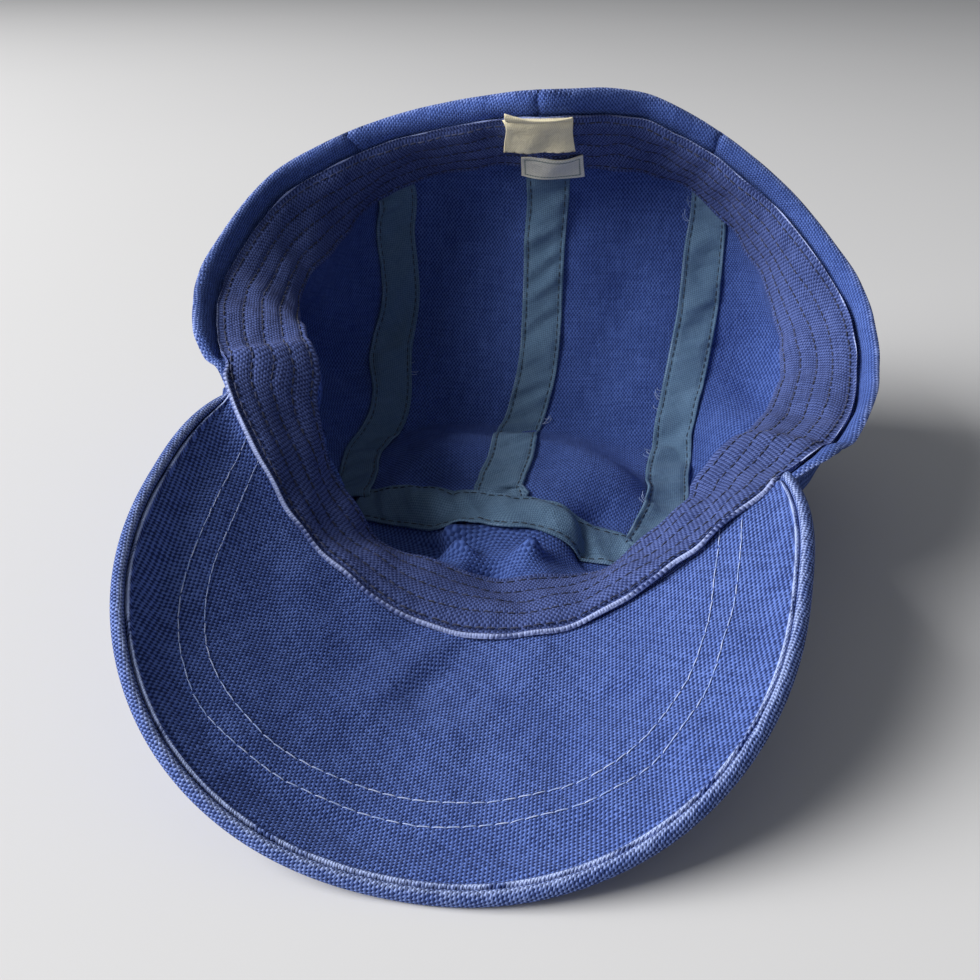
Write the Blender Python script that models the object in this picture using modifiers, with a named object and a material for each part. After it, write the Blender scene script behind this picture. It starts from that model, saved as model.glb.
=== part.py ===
"""Five-panel cap lying upside down on its crown, with the visor towards -Y.

Units are metres and +Z is up. The cap rests on z = 0. One surface, worked out from the tables
below, is the inner face of the crown. It is read in a pattern: a bearing round the hub, the spot
on the crown's floor under the middle of the head, and a share of the way from the hub to the rim.
Everything sewn to the crown lies at a stated height over that surface.
"""
import bpy
import numpy as np
from math import atan2, cos, degrees, hypot, radians, sin
from mathutils import Matrix, Vector
from mathutils.geometry import delaunay_2d_cdt

# Crown
CROWN_HALF_WIDTH = 0.100
CROWN_HEIGHT = 0.120
HUB_FROM_ROOT = 0.070
HUB_RISE = 0.010
PRESS = 0.0030
CREASE_ROUND = 0.014
FOLD_HEIGHT = 0.010
WALL = 0.0020
SEAM_GAP = 0.0009
CLEARANCE = 0.0003
LAY = 0.0012
TAPE_LAY = 0.0014
ROUNDING = 0.0022

# Rim and sweatband
HEM_WIDTH = 0.0080
HEM_LIP = 0.0008
BAND_WIDTH = 0.026
BAND_THICK = 0.0015

# Seam tapes
TAPE_WIDTH = 0.015
TAPE_THICK = 0.0009

# Visor: a sheet bent across and curled along, with a rolled edge
VISOR_HALF_WIDTH = 0.0785
VISOR_LENGTH = 0.0745
VISOR_SQUARENESS = 2.4
VISOR_THICK = 0.0022
UNDER_THICK = 0.0010
ROLL_WIDTH = 0.0034
ROLL_PROUD = 0.0006
VISOR_END = 0.0050
ROOT_HEIGHT = 0.0102
ROOT_SLOPE = 0.24
BEND_RADIUS = 0.107
FRONT_CURL = 0.247
SIDE_TILT = 0.08

# Labels at the back of the sweatband
LABEL_THICK = 0.0008
SIZE_TAB_WIDTH = 0.024
SIZE_TAB_DROP = 0.013
SIZE_TAB_FLARE = 0.0015
SIZE_TAB_CURL = 0.0035
WOVEN_WIDTH = 0.022
WOVEN_DROP = 0.011
WOVEN_BELOW_BAND = 0.005
LABEL_BEARING = 355.5

# Mesh spacing of the cloth
CLOTH_STEP = 0.0066
BAND_COUNT = 92

# Round the rim. Bearings are in degrees from the back, by way of the right. The radius is a share
# of the crown's half width, the height a share of its height and the hem a share of the hem's
# width. The leans are degrees from upright, outward. The visor's reach is a share of the rounded
# outline that its own sizes give.
RIM = (
    # bearing, radius, height, band lean, hem, hem lean, visor reach
    (0, .650, .954, -45, 1, 5, 1),
    (20, .840, .930, -42, 1, 5, 1),
    (40, 1.000, .775, -17, 1, 10, 1),
    (60, 1.090, .550, 40, 1, 25, 1),
    (80, 1.005, .400, 72, 1, 35, 1.09),
    (100, .895, .346, 76, .9, 45, 1.09),
    (120, .790, .320, 58, .1, 55, 1.045),
    (140, .710, .183, 66, .1, 66, .995),
    (160, .705, .108, 86, .1, 86, .985),
    (180, .710, .088, 98, .1, 98, 1),
    (200, .730, .138, 84, .1, 84, 1.01),
    (220, .760, .246, 62, .1, 62, 1.005),
    (240, .825, .454, 64, .1, 60, 1.015),
    (260, .885, .554, 84, .9, 45, 1.015),
    (280, .965, .629, 68, 1, 35, 1),
    (300, .990, .763, 24, 1, 15, 1),
    (320, .865, .870, -38, 1, 5, 1),
    (340, .690, .933, -50, 1, 5, 1),
)

# The wall between the sweatband and the crease that the crown stands on, in the same shares
WALLS = (
    # bearing, belly radius, belly height, crease radius, crease height
    (0, .87, .42, .66, 0),
    (20, .98, .40, .64, 0),
    (40, 1.12, .30, .66, 0),
    (60, 1.07, .22, .68, 0),
    (80, .92, .18, .66, 0),
    (100, .75, .17, .56, 0),
    (120, .62, .12, .46, 0),
    (140, .425, .06, .37, .05),
    (160, .390, .074, .33, .08),
    (180, .395, .093, .33, .09),
    (200, .415, .082, .35, .07),
    (220, .510, .11, .42, .03),
    (240, .66, .20, .56, 0),
    (260, .80, .30, .62, 0),
    (280, .90, .33, .66, 0),
    (300, .98, .35, .72, 0),
    (320, 1.03, .38, .72, 0),
    (340, .94, .40, .68, 0),
)

# Folds, dents and puffs: a place in the pattern, the reach across and along, both as shares of the
# way from hub to rim, the turn of the fold, and its height as a share of the fold height
FOLDS = (
    # bearing, share, reach across, reach along, turn, height
    (314, .23, .14, .12, 20, .80),
    (35, .19, .13, .10, -25, .70),
    (40, .32, .085, .11, -40, -.32),
    (262, .21, .09, .08, 0, .45),
    (120, .22, .10, .09, 0, .35),
    (208, .62, .15, .14, 25, -.35),
    (179, .66, .15, .13, 0, -.45),
    (143, .62, .13, .13, -30, -.30),
    (309, .57, .055, .16, -50, -.70),
    (303, .69, .075, .14, -50, .45),
    (53, .52, .065, .10, 50, .50),
    (46, .58, .055, .10, 30, -.35),
    (249, .86, .11, .18, 70, .30),
    (96, .80, .11, .18, -70, .30),
)

# The seams, each as its places in the pattern
LEFT_SEAM = (
    # bearing, share of the way from hub to rim
    (311, 1), (318, .90), (324, .81), (324, .73), (324, .66), (323, .60), (319, .53),
    (314, .45), (305, .405), (295, .375), (281, .33), (265, .32),
)
CENTRE_SEAM = (
    # bearing, share of the way from hub to rim
    (354, 1), (356, .88), (356.5, .79), (356, .66), (356, .47), (353, .355), (350, .28), (342, .09),
    (205, .10), (184, .19),
)
RIGHT_SEAM = (
    # bearing, share of the way from hub to rim
    (33, 1), (31, .90), (29, .82), (28, .73), (29, .64), (31, .55), (35, .46), (40, .39),
    (56, .32), (81, .295), (110, .36),
)
LEFT_FRONT_SEAM = ((265, .32), (248, .64), (236, 1))
RIGHT_FRONT_SEAM = ((110, .36), (120, .68), (129, 1))
# The front seam crosses the floor between the side seams' ends
FRONT_SEAM = (
    # share of the crown's half width to the right, share of the way from root to hub
    (-.33, .87), (-.15, .83), (0, .815), (.18, .81),
)

CANVAS = ("canvas", (0.072, 0.108, 0.270), 0.88)
CANVAS_SHADE = ("visor_canvas", (0.080, 0.120, 0.290), 0.86)
BAND_CLOTH = ("sweatband", (0.050, 0.055, 0.130), 0.90)
TAPE_CLOTH = ("seam_tape", (0.060, 0.100, 0.140), 0.90)
TAB_SATIN = ("label_satin", (0.520, 0.450, 0.300), 0.55)
TAB_WOVEN = ("label_woven", (0.500, 0.470, 0.380), 0.75)


def clear_scene():
    for old in list(bpy.data.objects):
        bpy.data.objects.remove(old, do_unlink=True)


def make_collection(name):
    group = bpy.data.collections.new(name)
    bpy.context.scene.collection.children.link(group)
    return group


def make_material(finish):
    name, colour, roughness = finish
    material = bpy.data.materials.get(name)
    if material is None:
        material = bpy.data.materials.new(name)
        material.use_nodes = True
        shader = material.node_tree.nodes["Principled BSDF"]
        shader.inputs["Base Color"].default_value = (*colour, 1)
        shader.inputs["Roughness"].default_value = roughness
        shader.inputs["Metallic"].default_value = 0
    return material


def column(rows, index):
    """A smooth closed curve through one column of a table of evenly spaced bearings."""
    values = np.array([row[index] for row in rows], float)
    count = len(values)

    def read(bearing):
        place = (np.asarray(bearing, float) / 360 * count) % count
        start = np.floor(place).astype(int)
        f = place - start
        a, b, c, d = (values[(start + k) % count] for k in (-1, 0, 1, 2))
        return b + f / 2 * (c - a + f * (2 * a - 5 * b + 4 * c - d + f * (3 * (b - c) + d - a)))

    return read


rim_radius, rim_height, band_lean, hem_rows, hem_lean = (column(RIM, k) for k in range(1, 6))
visor_reach = column(RIM, 6)
belly_radius, belly_height, crease_radius, crease_height = (column(WALLS, k) for k in range(1, 5))


def hem_share(bearing):
    """The share of the hem's width. It ends quickly where the visor is sewn on."""
    return np.clip(1.9 * hem_rows(bearing) - 0.2, 0.1, 1.03)


def heading(lean):
    return np.array([sin(radians(lean)), cos(radians(lean))])


def hermite(start, leave, end, arrive, steps):
    t = np.linspace(0, 1, steps)[:, None]
    return ((2 * t**3 - 3 * t**2 + 1) * start + (t**3 - 2 * t**2 + t) * leave
            + (3 * t**2 - 2 * t**3) * end + (t**3 - t**2) * arrive)


def profile(bearing, steps=24):
    """The crown's inner face in the upright plane at a bearing, from the hub to the rim."""
    crease = np.array([CROWN_HALF_WIDTH * crease_radius(bearing),
                       WALL - PRESS + CROWN_HEIGHT * crease_height(bearing)])
    belly = np.array([CROWN_HALF_WIDTH * belly_radius(bearing),
                      WALL + CROWN_HEIGHT * belly_height(bearing)])
    band_top = np.array([CROWN_HALF_WIDTH * rim_radius(bearing), CROWN_HEIGHT * rim_height(bearing)])
    lean = heading(float(band_lean(bearing)))
    band_foot = band_top - lean * BAND_WIDTH
    hem = HEM_WIDTH * float(hem_share(bearing))
    rim = band_top + heading(float(hem_lean(bearing))) * hem

    rise = belly - crease
    up = rise / np.linalg.norm(rise)
    fillet = min(CREASE_ROUND, 0.6 * np.linalg.norm(rise))
    run = np.linspace(0, crease[0] - fillet, steps)
    dome = (HUB_RISE + WALL - crease[1]) * (1 - (run / run[-1])**2)
    floor = np.stack([run, crease[1] + dome], -1)
    t = np.linspace(0, 1, steps)[:, None]
    foot = crease + up * fillet
    corner = (1 - t)**2 * floor[-1] + 2 * t * (1 - t) * crease + t**2 * foot

    through = band_foot - crease
    through = through / np.linalg.norm(through)
    low = np.linalg.norm(belly - foot)
    high = np.linalg.norm(band_foot - belly)
    wall = hermite(foot, up * low, belly, through * low, steps)
    waist = hermite(belly, through * high, band_foot, lean * high, steps)
    band = band_foot + (band_top - band_foot) * t
    hem_line = band_top + (rim - band_top) * t
    line = np.concatenate([floor[:-1], corner[:-1], wall[:-1], waist[:-1], band[:-1], hem_line])
    line[:, 1] = np.maximum(line[:, 1], WALL)
    return line


def smooth_line(points, step):
    """A line of even steps with its corners eased over the rounding distance."""
    for _ in range(round(2 * (ROUNDING / step)**2)):
        points[1:-1] = (points[:-2] + 2 * points[1:-1] + points[2:]) / 4
    return points


class Crown:
    """The crown's inner face as a lattice of bearings and even steps from hub to rim."""

    bearings = 144
    rings = 121

    def __init__(self):
        self.points = np.zeros((self.bearings, self.rings, 3))
        self.lengths = np.zeros(self.bearings)
        for i in range(self.bearings):
            bearing = 360 * i / self.bearings
            line = profile(bearing)
            run = np.r_[0, np.cumsum(np.linalg.norm(np.diff(line, axis=0), axis=1))]
            even = np.linspace(0, run[-1], self.rings)
            flat = np.stack([np.interp(even, run, line[:, k]) for k in (0, 1)], -1)
            flat = smooth_line(flat, run[-1] / (self.rings - 1))
            self.lengths[i] = run[-1]
            self.points[i, :, 0] = flat[:, 0] * sin(radians(bearing))
            self.points[i, :, 1] = HUB_FROM_ROOT + flat[:, 0] * cos(radians(bearing))
            self.points[i, :, 2] = flat[:, 1]

    def length(self, bearing):
        place = np.asarray(bearing, float) % 360 / 360 * self.bearings
        i = np.floor(place).astype(int) % self.bearings
        f = place - np.floor(place)
        return self.lengths[i] * (1 - f) + self.lengths[(i + 1) % self.bearings] * f

    def bare(self, spots):
        """The face before folds, at spots of the pattern plane."""
        spots = np.asarray(spots, float)
        share = np.minimum(np.hypot(spots[..., 0], spots[..., 1]), 1)
        place = np.degrees(np.arctan2(spots[..., 0], spots[..., 1])) % 360 / 360 * self.bearings
        i = np.floor(place).astype(int)
        f = (place - i)[..., None]
        step = share * (self.rings - 1)
        j = np.minimum(np.floor(step).astype(int), self.rings - 2)
        g = (step - j)[..., None]
        here, after = self.points[i % self.bearings], self.points[(i + 1) % self.bearings]
        rows = np.arange(len(spots)) if spots.ndim == 2 else None
        if rows is None:
            flat = self.bare(spots.reshape(-1, 2))
            return flat.reshape(*spots.shape[:-1], 3)
        a = here[rows, j] * (1 - g) + here[rows, j + 1] * g
        b = after[rows, j] * (1 - g) + after[rows, j + 1] * g
        return a * (1 - f) + b * f

    def slopes(self, spots, read, reach=0.004):
        east, north = np.array([reach, 0]), np.array([0, reach])
        spots = np.asarray(spots, float)
        size = np.maximum(np.hypot(spots[..., 0], spots[..., 1]) / (1 - reach), 1)[..., None]
        spots = spots / size
        return ((read(spots + east) - read(spots - east)) / (2 * reach),
                (read(spots + north) - read(spots - north)) / (2 * reach))

    def normal(self, spots, read):
        """The direction from the cloth into the cap."""
        across, along = self.slopes(spots, read)
        out = np.cross(across, along)
        return out / np.linalg.norm(out, axis=-1, keepdims=True)

    def face(self, spots):
        """The inner face with its folds and the folded hem, flattened where it rests."""
        spots = np.asarray(spots, float)
        height = np.zeros(spots.shape[:-1])
        for bearing, share, across, along, turn, rise in FOLDS:
            away = spots - spot(bearing, share)
            c, s = cos(radians(turn)), sin(radians(turn))
            u = (away[..., 0] * c + away[..., 1] * s) / across
            v = (-away[..., 0] * s + away[..., 1] * c) / along
            height += FOLD_HEIGHT * rise * np.exp(-(u**2 + v**2))
        bearing = np.degrees(np.arctan2(spots[..., 0], spots[..., 1]))
        down = (1 - np.hypot(spots[..., 0], spots[..., 1])) * self.length(bearing)
        hem = HEM_WIDTH * hem_share(bearing)
        height += HEM_LIP * hem_share(bearing) * np.clip(1.5 - down / np.maximum(hem, 1e-4), 0, 1)
        points = self.bare(spots) + self.normal(spots, self.bare) * height[..., None]
        points[..., 2] = np.maximum(points[..., 2], WALL)
        return points

    def over(self, spots, height):
        """A place over the cloth, on its inner side."""
        lift = self.normal(spots, self.face) * np.asarray(height)[..., None]
        return self.face(spots) + lift


def spot(bearing, share):
    """A place of the pattern plane from a bearing and the share of the way from hub to rim."""
    bearing = np.radians(np.asarray(bearing, float))
    return np.stack([np.sin(bearing) * share, np.cos(bearing) * share], -1)


def below_rim(bearing, down):
    """A place of the pattern plane at a distance down from the rim."""
    return spot(bearing, 1 - np.asarray(down, float) / crown.length(bearing))


def on_floor(across, from_root):
    """A place of the pattern plane over a place of the crown's floor."""
    x, y = across * CROWN_HALF_WIDTH, (from_root - 1) * HUB_FROM_ROOT
    bearing = degrees(atan2(x, y))
    return spot(bearing, hypot(x, y) / crown.length(bearing))


def curve_through(spots, step):
    """A smooth curve through places of the pattern, sampled evenly along the cloth."""
    spots = np.asarray(spots, float)
    ends = np.concatenate([[2 * spots[0] - spots[1]], spots, [2 * spots[-1] - spots[-2]]])
    fine = []
    for a, b, c, d in zip(ends, ends[1:], ends[2:], ends[3:]):
        t = np.linspace(0, 1, 12, endpoint=False)[:, None]
        fine.append(b + t / 2 * (c - a + t * (2*a - 5*b + 4*c - d + t * (3 * (b - c) + d - a))))
    fine = np.concatenate([*fine, spots[-1:]])
    return resample(fine, step)


def resample(fine, step):
    run = np.linalg.norm(np.diff(crown.bare(fine), axis=0), axis=1)
    run = np.r_[0, np.cumsum(run)]
    count = max(2, int(round(run[-1] / step)) + 1)
    even = np.linspace(0, run[-1], count)
    return np.stack([np.interp(even, run, fine[:, k]) for k in (0, 1)], -1)


def side_of(line):
    """For each place of a line, the direction in space that points to its left on the cloth."""
    points = crown.bare(line)
    forward = np.gradient(points, axis=0)
    side = np.cross(crown.normal(line, crown.bare), forward)
    return side / np.linalg.norm(side, axis=-1, keepdims=True)


def walked(line, distance, steps=4):
    """A line of the pattern moved to its left by a distance measured on the cloth."""
    line = np.array(line, float)
    side = side_of(line)
    for _ in range(steps):
        east, north = crown.slopes(line, crown.bare)
        ee, en, nn = (east * east).sum(-1), (east * north).sum(-1), (north * north).sum(-1)
        se, sn = (side * east).sum(-1), (side * north).sum(-1)
        det = ee * nn - en**2
        move = np.stack([(se * nn - sn * en) / det, (sn * ee - se * en) / det], -1)
        moved = east * move[:, :1] + north * move[:, 1:]
        line = line + move * (distance / steps / np.linalg.norm(moved, axis=-1))[:, None]
    return line


def new_object(name, vertices, faces, finish, group):
    mesh = bpy.data.meshes.new(name)
    mesh.from_pydata([tuple(v) for v in vertices], [], faces)
    mesh.validate()
    mesh.materials.append(make_material(finish))
    thing = bpy.data.objects.new(name, mesh)
    group.objects.link(thing)
    mesh.shade_smooth()
    return thing


def solidify(thing, thickness, offset):
    shell = thing.modifiers.new("cloth", 'SOLIDIFY')
    shell.thickness = thickness
    shell.offset = offset
    shell.use_even_offset = False
    shell.use_quality_normals = True
    return thing


def grid_faces(rows, columns, closed=False):
    """Faces of a lattice whose points run row by row."""
    faces = []
    for i in range(rows if closed else rows - 1):
        for j in range(columns - 1):
            a, b = i * columns + j, ((i + 1) % rows) * columns + j
            faces.append((a, a + 1, b + 1, b))
    return faces


def panel(name, outline, group):
    """One crown panel: a piece of the pattern, filled with even triangles and given its wall."""
    outline = np.asarray(outline)
    count = len(outline)
    inside = scattered(outline)
    cloud = [Vector(p) for p in np.concatenate([outline, inside])]
    ring = [list(range(count))]
    verts, _, faces, _, _, _ = delaunay_2d_cdt(cloud, [], ring, 1, 1e-7)
    spots = np.array([tuple(v) for v in verts])
    thing = new_object(name, crown.face(spots), facing_in(spots, faces), CANVAS, group)
    return solidify(thing, WALL, -1)


def foot_spots():
    """The middle of the flat ring that the crown rests on, bearing by bearing."""
    flat = crown.points[..., 2] < WALL + CLEARANCE
    rings = [np.flatnonzero(row).mean() if row.any() else np.nan for row in flat]
    bearings = np.arange(crown.bearings) * 360 / crown.bearings
    spots = spot(bearings, np.array(rings) / (crown.rings - 1))
    return spots[np.isfinite(rings)]


def hem_spots():
    """Places along the sweatband's top edge, where the hem is wide enough to show."""
    bearings = np.arange(0, 361, 2)
    around = resample(below_rim(bearings, HEM_WIDTH * hem_share(bearings)), CLOTH_STEP)[:-1]
    return around[hem_share(np.degrees(np.arctan2(around[:, 0], around[:, 1]))) > 0.2]


def scattered(outline):
    """Places inside an outline of the pattern, about one cloth step apart."""
    hem = hem_spots()
    hem = hem[clear_of(hem, outline, CLOTH_STEP * 0.2)]
    rows = [foot_spots()]
    dense = CLOTH_STEP * 0.5
    for share in np.arange(dense / 2, crown.lengths.max(), dense) / crown.lengths.max():
        around = np.linalg.norm(np.diff(crown.bare(spot(np.arange(0, 361, 5), share)), axis=0), axis=1)
        many = max(5, int(around.sum() / dense))
        rows.append(spot(np.arange(many) * 360 / many, share))
    inside = np.concatenate(rows)
    inside = np.concatenate([hem, inside[clear_of(inside, outline, CLOTH_STEP * 0.6)]])
    points = crown.bare(inside)
    kept = []
    free = np.ones(len(inside), bool)
    for i in range(len(inside)):
        if free[i]:
            kept.append(i)
            free &= np.linalg.norm(points - points[i], axis=1) > CLOTH_STEP * 0.88
    return inside[kept]


def facing_in(spots, faces):
    """The faces wound so that they look into the cap."""
    wound = []
    for face in faces:
        a, b, c = (spots[k] for k in face[:3])
        turn = (b[0] - a[0]) * (c[1] - a[1]) - (b[1] - a[1]) * (c[0] - a[0])
        wound.append(tuple(face) if turn > 0 else tuple(reversed(face)))
    return wound


def clear_of(points, outline, distance):
    """Which points lie inside an outline and at least a distance of cloth away from it."""
    x, y = points[:, 0], points[:, 1]
    inside = np.zeros(len(points), bool)
    for a, b in zip(outline, np.roll(outline, -1, axis=0)):
        crosses = (a[1] > y) != (b[1] > y)
        rise = b[1] - a[1] if b[1] != a[1] else 1e-12
        inside ^= crosses & (x < a[0] + (y - a[1]) / rise * (b[0] - a[0]))
    here, edge = crown.bare(points), crown.bare(outline)
    near = np.full(len(points), np.inf)
    for place in edge:
        near = np.minimum(near, np.linalg.norm(here - place, axis=1))
    return inside & (near > distance)


def rim_arc(start, end):
    """Places along the rim between two seams, going round by way of the right."""
    low, high = (degrees(atan2(place[0], place[1])) % 360 for place in (start, end))
    if high < low:
        high += 360
    return resample(spot(np.linspace(low, high, 60), 1.0), CLOTH_STEP)


def crossing(a, b, c, d):
    """The place of the pattern plane where the line through a and b crosses the one through c and d."""
    along, other = b - a, d - c
    turn = along[0] * other[1] - along[1] * other[0]
    return a + along * ((c[0] - a[0]) * other[1] - (c[1] - a[1]) * other[0]) / turn


def outline_of(*lines):
    """An outline whose lines are cut, or carried on, to where each meets the next."""
    parts = []
    for line, after in zip(lines, lines[1:] + lines[:1]):
        parts += [line[1:-1], [crossing(line[-2], line[-1], after[0], after[1])]]
    return np.concatenate(parts)


def make_panels(seams, group):
    half = SEAM_GAP / 2
    left, centre, right = seams["left"], seams["centre"], seams["right"]
    front, left_front, right_front = seams["front"], seams["left_front"], seams["right_front"]
    split = int(np.argmin(np.linalg.norm(front - centre[-1], axis=1)))
    panel("front_panel", outline_of(
        walked(front, -half),
        walked(right_front, -half),
        rim_arc(right_front[-1], left_front[-1]),
        walked(left_front, half)[::-1]), group)
    panel("top_panel_left", outline_of(
        walked(left, half)[::-1],
        rim_arc(left[0], centre[0]),
        walked(centre, -half),
        walked(front[:split + 1], half)[::-1]), group)
    panel("top_panel_right", outline_of(
        walked(centre, half)[::-1],
        rim_arc(centre[0], right[0]),
        walked(right, -half),
        walked(front[split:], half)[::-1]), group)
    panel("side_panel_left", outline_of(
        walked(left, -half),
        walked(left_front, -half),
        rim_arc(left_front[-1], left[0])), group)
    panel("side_panel_right", outline_of(
        walked(right_front, half)[::-1],
        walked(right, half)[::-1],
        rim_arc(right[0], right_front[-1])), group)


def strip(name, centre, height, thickness, finish, group, columns=3):
    """A tape laid along a line of the pattern, its near face at a height over the cloth."""
    spots = tape_spots(centre, columns)
    points = crown.over(spots.reshape(-1, 2), np.full(spots[..., 0].size, height))
    faces = [tuple(reversed(f)) for f in grid_faces(len(centre), columns)]
    thing = new_object(name, points, faces, finish, group)
    return solidify(thing, thickness, 1)


def tape_spots(centre, columns):
    offsets = np.linspace(-TAPE_WIDTH / 2, TAPE_WIDTH / 2, columns)
    return np.stack([walked(centre, offset) for offset in offsets], 1)


def below_band(spots):
    """How far each place lies below the sweatband."""
    bearing = np.degrees(np.arctan2(spots[..., 0], spots[..., 1]))
    down = (1 - np.hypot(spots[..., 0], spots[..., 1])) * crown.length(bearing)
    return down - HEM_WIDTH * hem_share(bearing) - BAND_WIDTH


def distance_to(line, others):
    """How far each place of a line is from other places, over the cloth."""
    here, there = crown.bare(line), crown.bare(others)
    return np.linalg.norm(here[:, None] - there[None], axis=2).min(1)


def make_tapes(seams, group):
    fine = CLOTH_STEP * 0.85
    step = CLEARANCE * 4
    clear = TAPE_WIDTH / 2 + 2 * CLEARANCE
    front = resample(seams["front"], step)
    for name, key in (("tape_left", "left"), ("tape_centre", "centre"), ("tape_right", "right")):
        line = resample(seams[key], step)
        line = line[below_band(tape_spots(line, 3)).min(1) > 3 * LAY]
        if key == "centre":
            line = line[distance_to(line, front) > clear + LAY]
        strip(name, resample(line, fine), TAPE_LAY, TAPE_THICK, TAPE_CLOTH, group)
    sides = np.concatenate([resample(seams[key], step) for key in ("left", "right")])
    front = front[distance_to(front, sides) > clear + LAY]
    strip("tape_front", resample(front, fine), TAPE_LAY, TAPE_THICK, TAPE_CLOTH, group)


def make_sweatband(group, columns=5):
    bearings = np.arange(BAND_COUNT) * 360 / BAND_COUNT
    hem = HEM_WIDTH * hem_share(bearings)
    widths = np.linspace(0, 1, columns)
    down = hem[:, None] + LAY + BAND_WIDTH * widths[None, :]
    spots = below_rim(bearings[:, None], down)
    points = crown.over(spots.reshape(-1, 2), np.full(spots[..., 0].size, LAY))
    faces = grid_faces(BAND_COUNT, columns, closed=True)
    thing = new_object("sweatband", points, faces, BAND_CLOTH, group)
    return solidify(thing, BAND_THICK, 1)


def sheet(x, y):
    """The bent sheet that the visor's under face and the front of the rim lie on."""
    bend = BEND_RADIUS - np.sqrt(np.maximum(BEND_RADIUS**2 - x**2, 1e-8))
    return ROOT_HEIGHT + ROOT_SLOPE * y + y**2 / (2 * FRONT_CURL) + bend - SIDE_TILT * x


def sheet_normal(x, y):
    """The direction the bent sheet looks in, upwards."""
    across = (sheet(x + CLEARANCE, y) - sheet(x - CLEARANCE, y)) / (2 * CLEARANCE)
    along = (sheet(x, y + CLEARANCE) - sheet(x, y - CLEARANCE)) / (2 * CLEARANCE)
    return np.array([-across, -along, 1]) / np.sqrt(1 + across**2 + along**2)


def visor_edge(bearing):
    """How far the visor's outline is from the hub at a bearing."""
    way = np.array([sin(radians(bearing)), cos(radians(bearing))])
    near, far = 0.0, 3 * VISOR_LENGTH
    for _ in range(40):
        reach = (near + far) / 2
        x, y = way[0] * reach, way[1] * reach + HUB_FROM_ROOT
        size = abs(x / VISOR_HALF_WIDTH)**VISOR_SQUARENESS + abs(y / VISOR_LENGTH)**VISOR_SQUARENESS
        near, far = (reach, far) if size < 1 else (near, reach)
    return (near + far) / 2 * float(visor_reach(bearing))


def visor_root(bearing):
    """How far the crown's outer face is from the hub where the visor is sewn on, and its height."""
    edge = spot(np.array([bearing]), 1.0)
    inner = crown.face(edge)[0]
    outer = inner - crown.normal(edge, crown.face)[0] * WALL
    reach = max(hypot(p[0], p[1] - HUB_FROM_ROOT) for p in (inner, outer))
    return reach + SEAM_GAP, inner[2]


def make_visor(group, stations=39, steps=7):
    reach = {b: (visor_root(b)[0], visor_edge(b)) for b in np.arange(95, 266, 0.5)}
    wide = [b for b, (root, edge) in reach.items() if edge - root > VISOR_END]
    bearings = np.linspace(min(wide), max(wide), stations)
    under, upper = [], []
    for bearing in bearings:
        root, root_z = visor_root(bearing)
        edge = visor_edge(bearing)
        way = np.array([sin(radians(bearing)), cos(radians(bearing))])

        def place(share, below):
            """A point at a share of the way from root to edge, below the sheet."""
            x, y = way * (root + (edge - root) * share)
            y += HUB_FROM_ROOT
            x0, y0 = way * root
            ease = (1 - share)**2 * (root_z - sheet(x0, y0 + HUB_FROM_ROOT))
            lowered = np.array([x, y, sheet(x, y) + ease]) - sheet_normal(x, y) * below
            return (lowered[0], lowered[1], max(lowered[2], 0))

        inset = 1 - ROLL_WIDTH / (edge - root)
        foot = inset - CLEARANCE / (edge - root)
        under.append([place(s, 0) for s in np.linspace(0, foot, steps)])
        top = UNDER_THICK + CLEARANCE
        bottom = top + VISOR_THICK
        loop = [place(s, top) for s in np.linspace(0, inset, steps)]
        loop += [place(inset, 0), place(inset + (1 - inset) * 0.3, -ROLL_PROUD),
                 place(inset + (1 - inset) * 0.75, ROLL_PROUD), place(1, bottom * 0.45)]
        loop += [place(s, bottom) for s in np.linspace(inset + (1 - inset) * 0.5, 0, steps)]
        upper.append(loop)
    under = np.array(under)
    faces = [tuple(reversed(f)) for f in grid_faces(stations, steps)]
    thing = new_object("visor_under", under.reshape(-1, 3), faces, CANVAS_SHADE, group)
    solidify(thing, UNDER_THICK, -1)
    upper = np.array(upper)
    around = upper.shape[1]
    faces = []
    for i in range(stations - 1):
        for j in range(around):
            a, b = i * around + j, i * around + (j + 1) % around
            faces.append((a, a + around, b + around, b))
    faces.append(tuple(range(around)))
    faces.append(tuple(reversed(range((stations - 1) * around, stations * around))))
    new_object("visor_upper", upper.reshape(-1, 3), faces, CANVAS_SHADE, group)


def label(name, top_down, drop, width, flare, height, curl, finish, group, rows=5, columns=6):
    """A flat label below a place of the rim, its near face at a height over the cloth."""
    points = []
    for share in np.linspace(0, 1, rows):
        middle = below_rim(LABEL_BEARING, top_down + drop * share)
        line = np.array([middle, below_rim(LABEL_BEARING, top_down + drop * share + CLEARANCE)])
        half = (width + flare * share) / 2
        for offset in np.linspace(-half, half, columns):
            bow = 1 - (offset / half)**2
            lift = height + curl * share**2 * (0.55 + 0.45 * bow)
            points.append(crown.over(walked(line, offset)[:1], np.array([lift]))[0])
    thing = new_object(name, points, grid_faces(rows, columns), finish, group)
    return solidify(thing, LABEL_THICK, 1)


def make_labels(group):
    hem = HEM_WIDTH * float(hem_share(LABEL_BEARING))
    over_band = LAY + BAND_THICK + LAY + CLEARANCE
    foot = hem + LAY + BAND_WIDTH + WOVEN_BELOW_BAND
    label("woven_label", foot - WOVEN_DROP, WOVEN_DROP, WOVEN_WIDTH, 0, over_band, 0,
          TAB_WOVEN, group)
    label("size_tab", hem + CLEARANCE, SIZE_TAB_DROP, SIZE_TAB_WIDTH, SIZE_TAB_FLARE, over_band,
          SIZE_TAB_CURL, TAB_SATIN, group)


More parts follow.
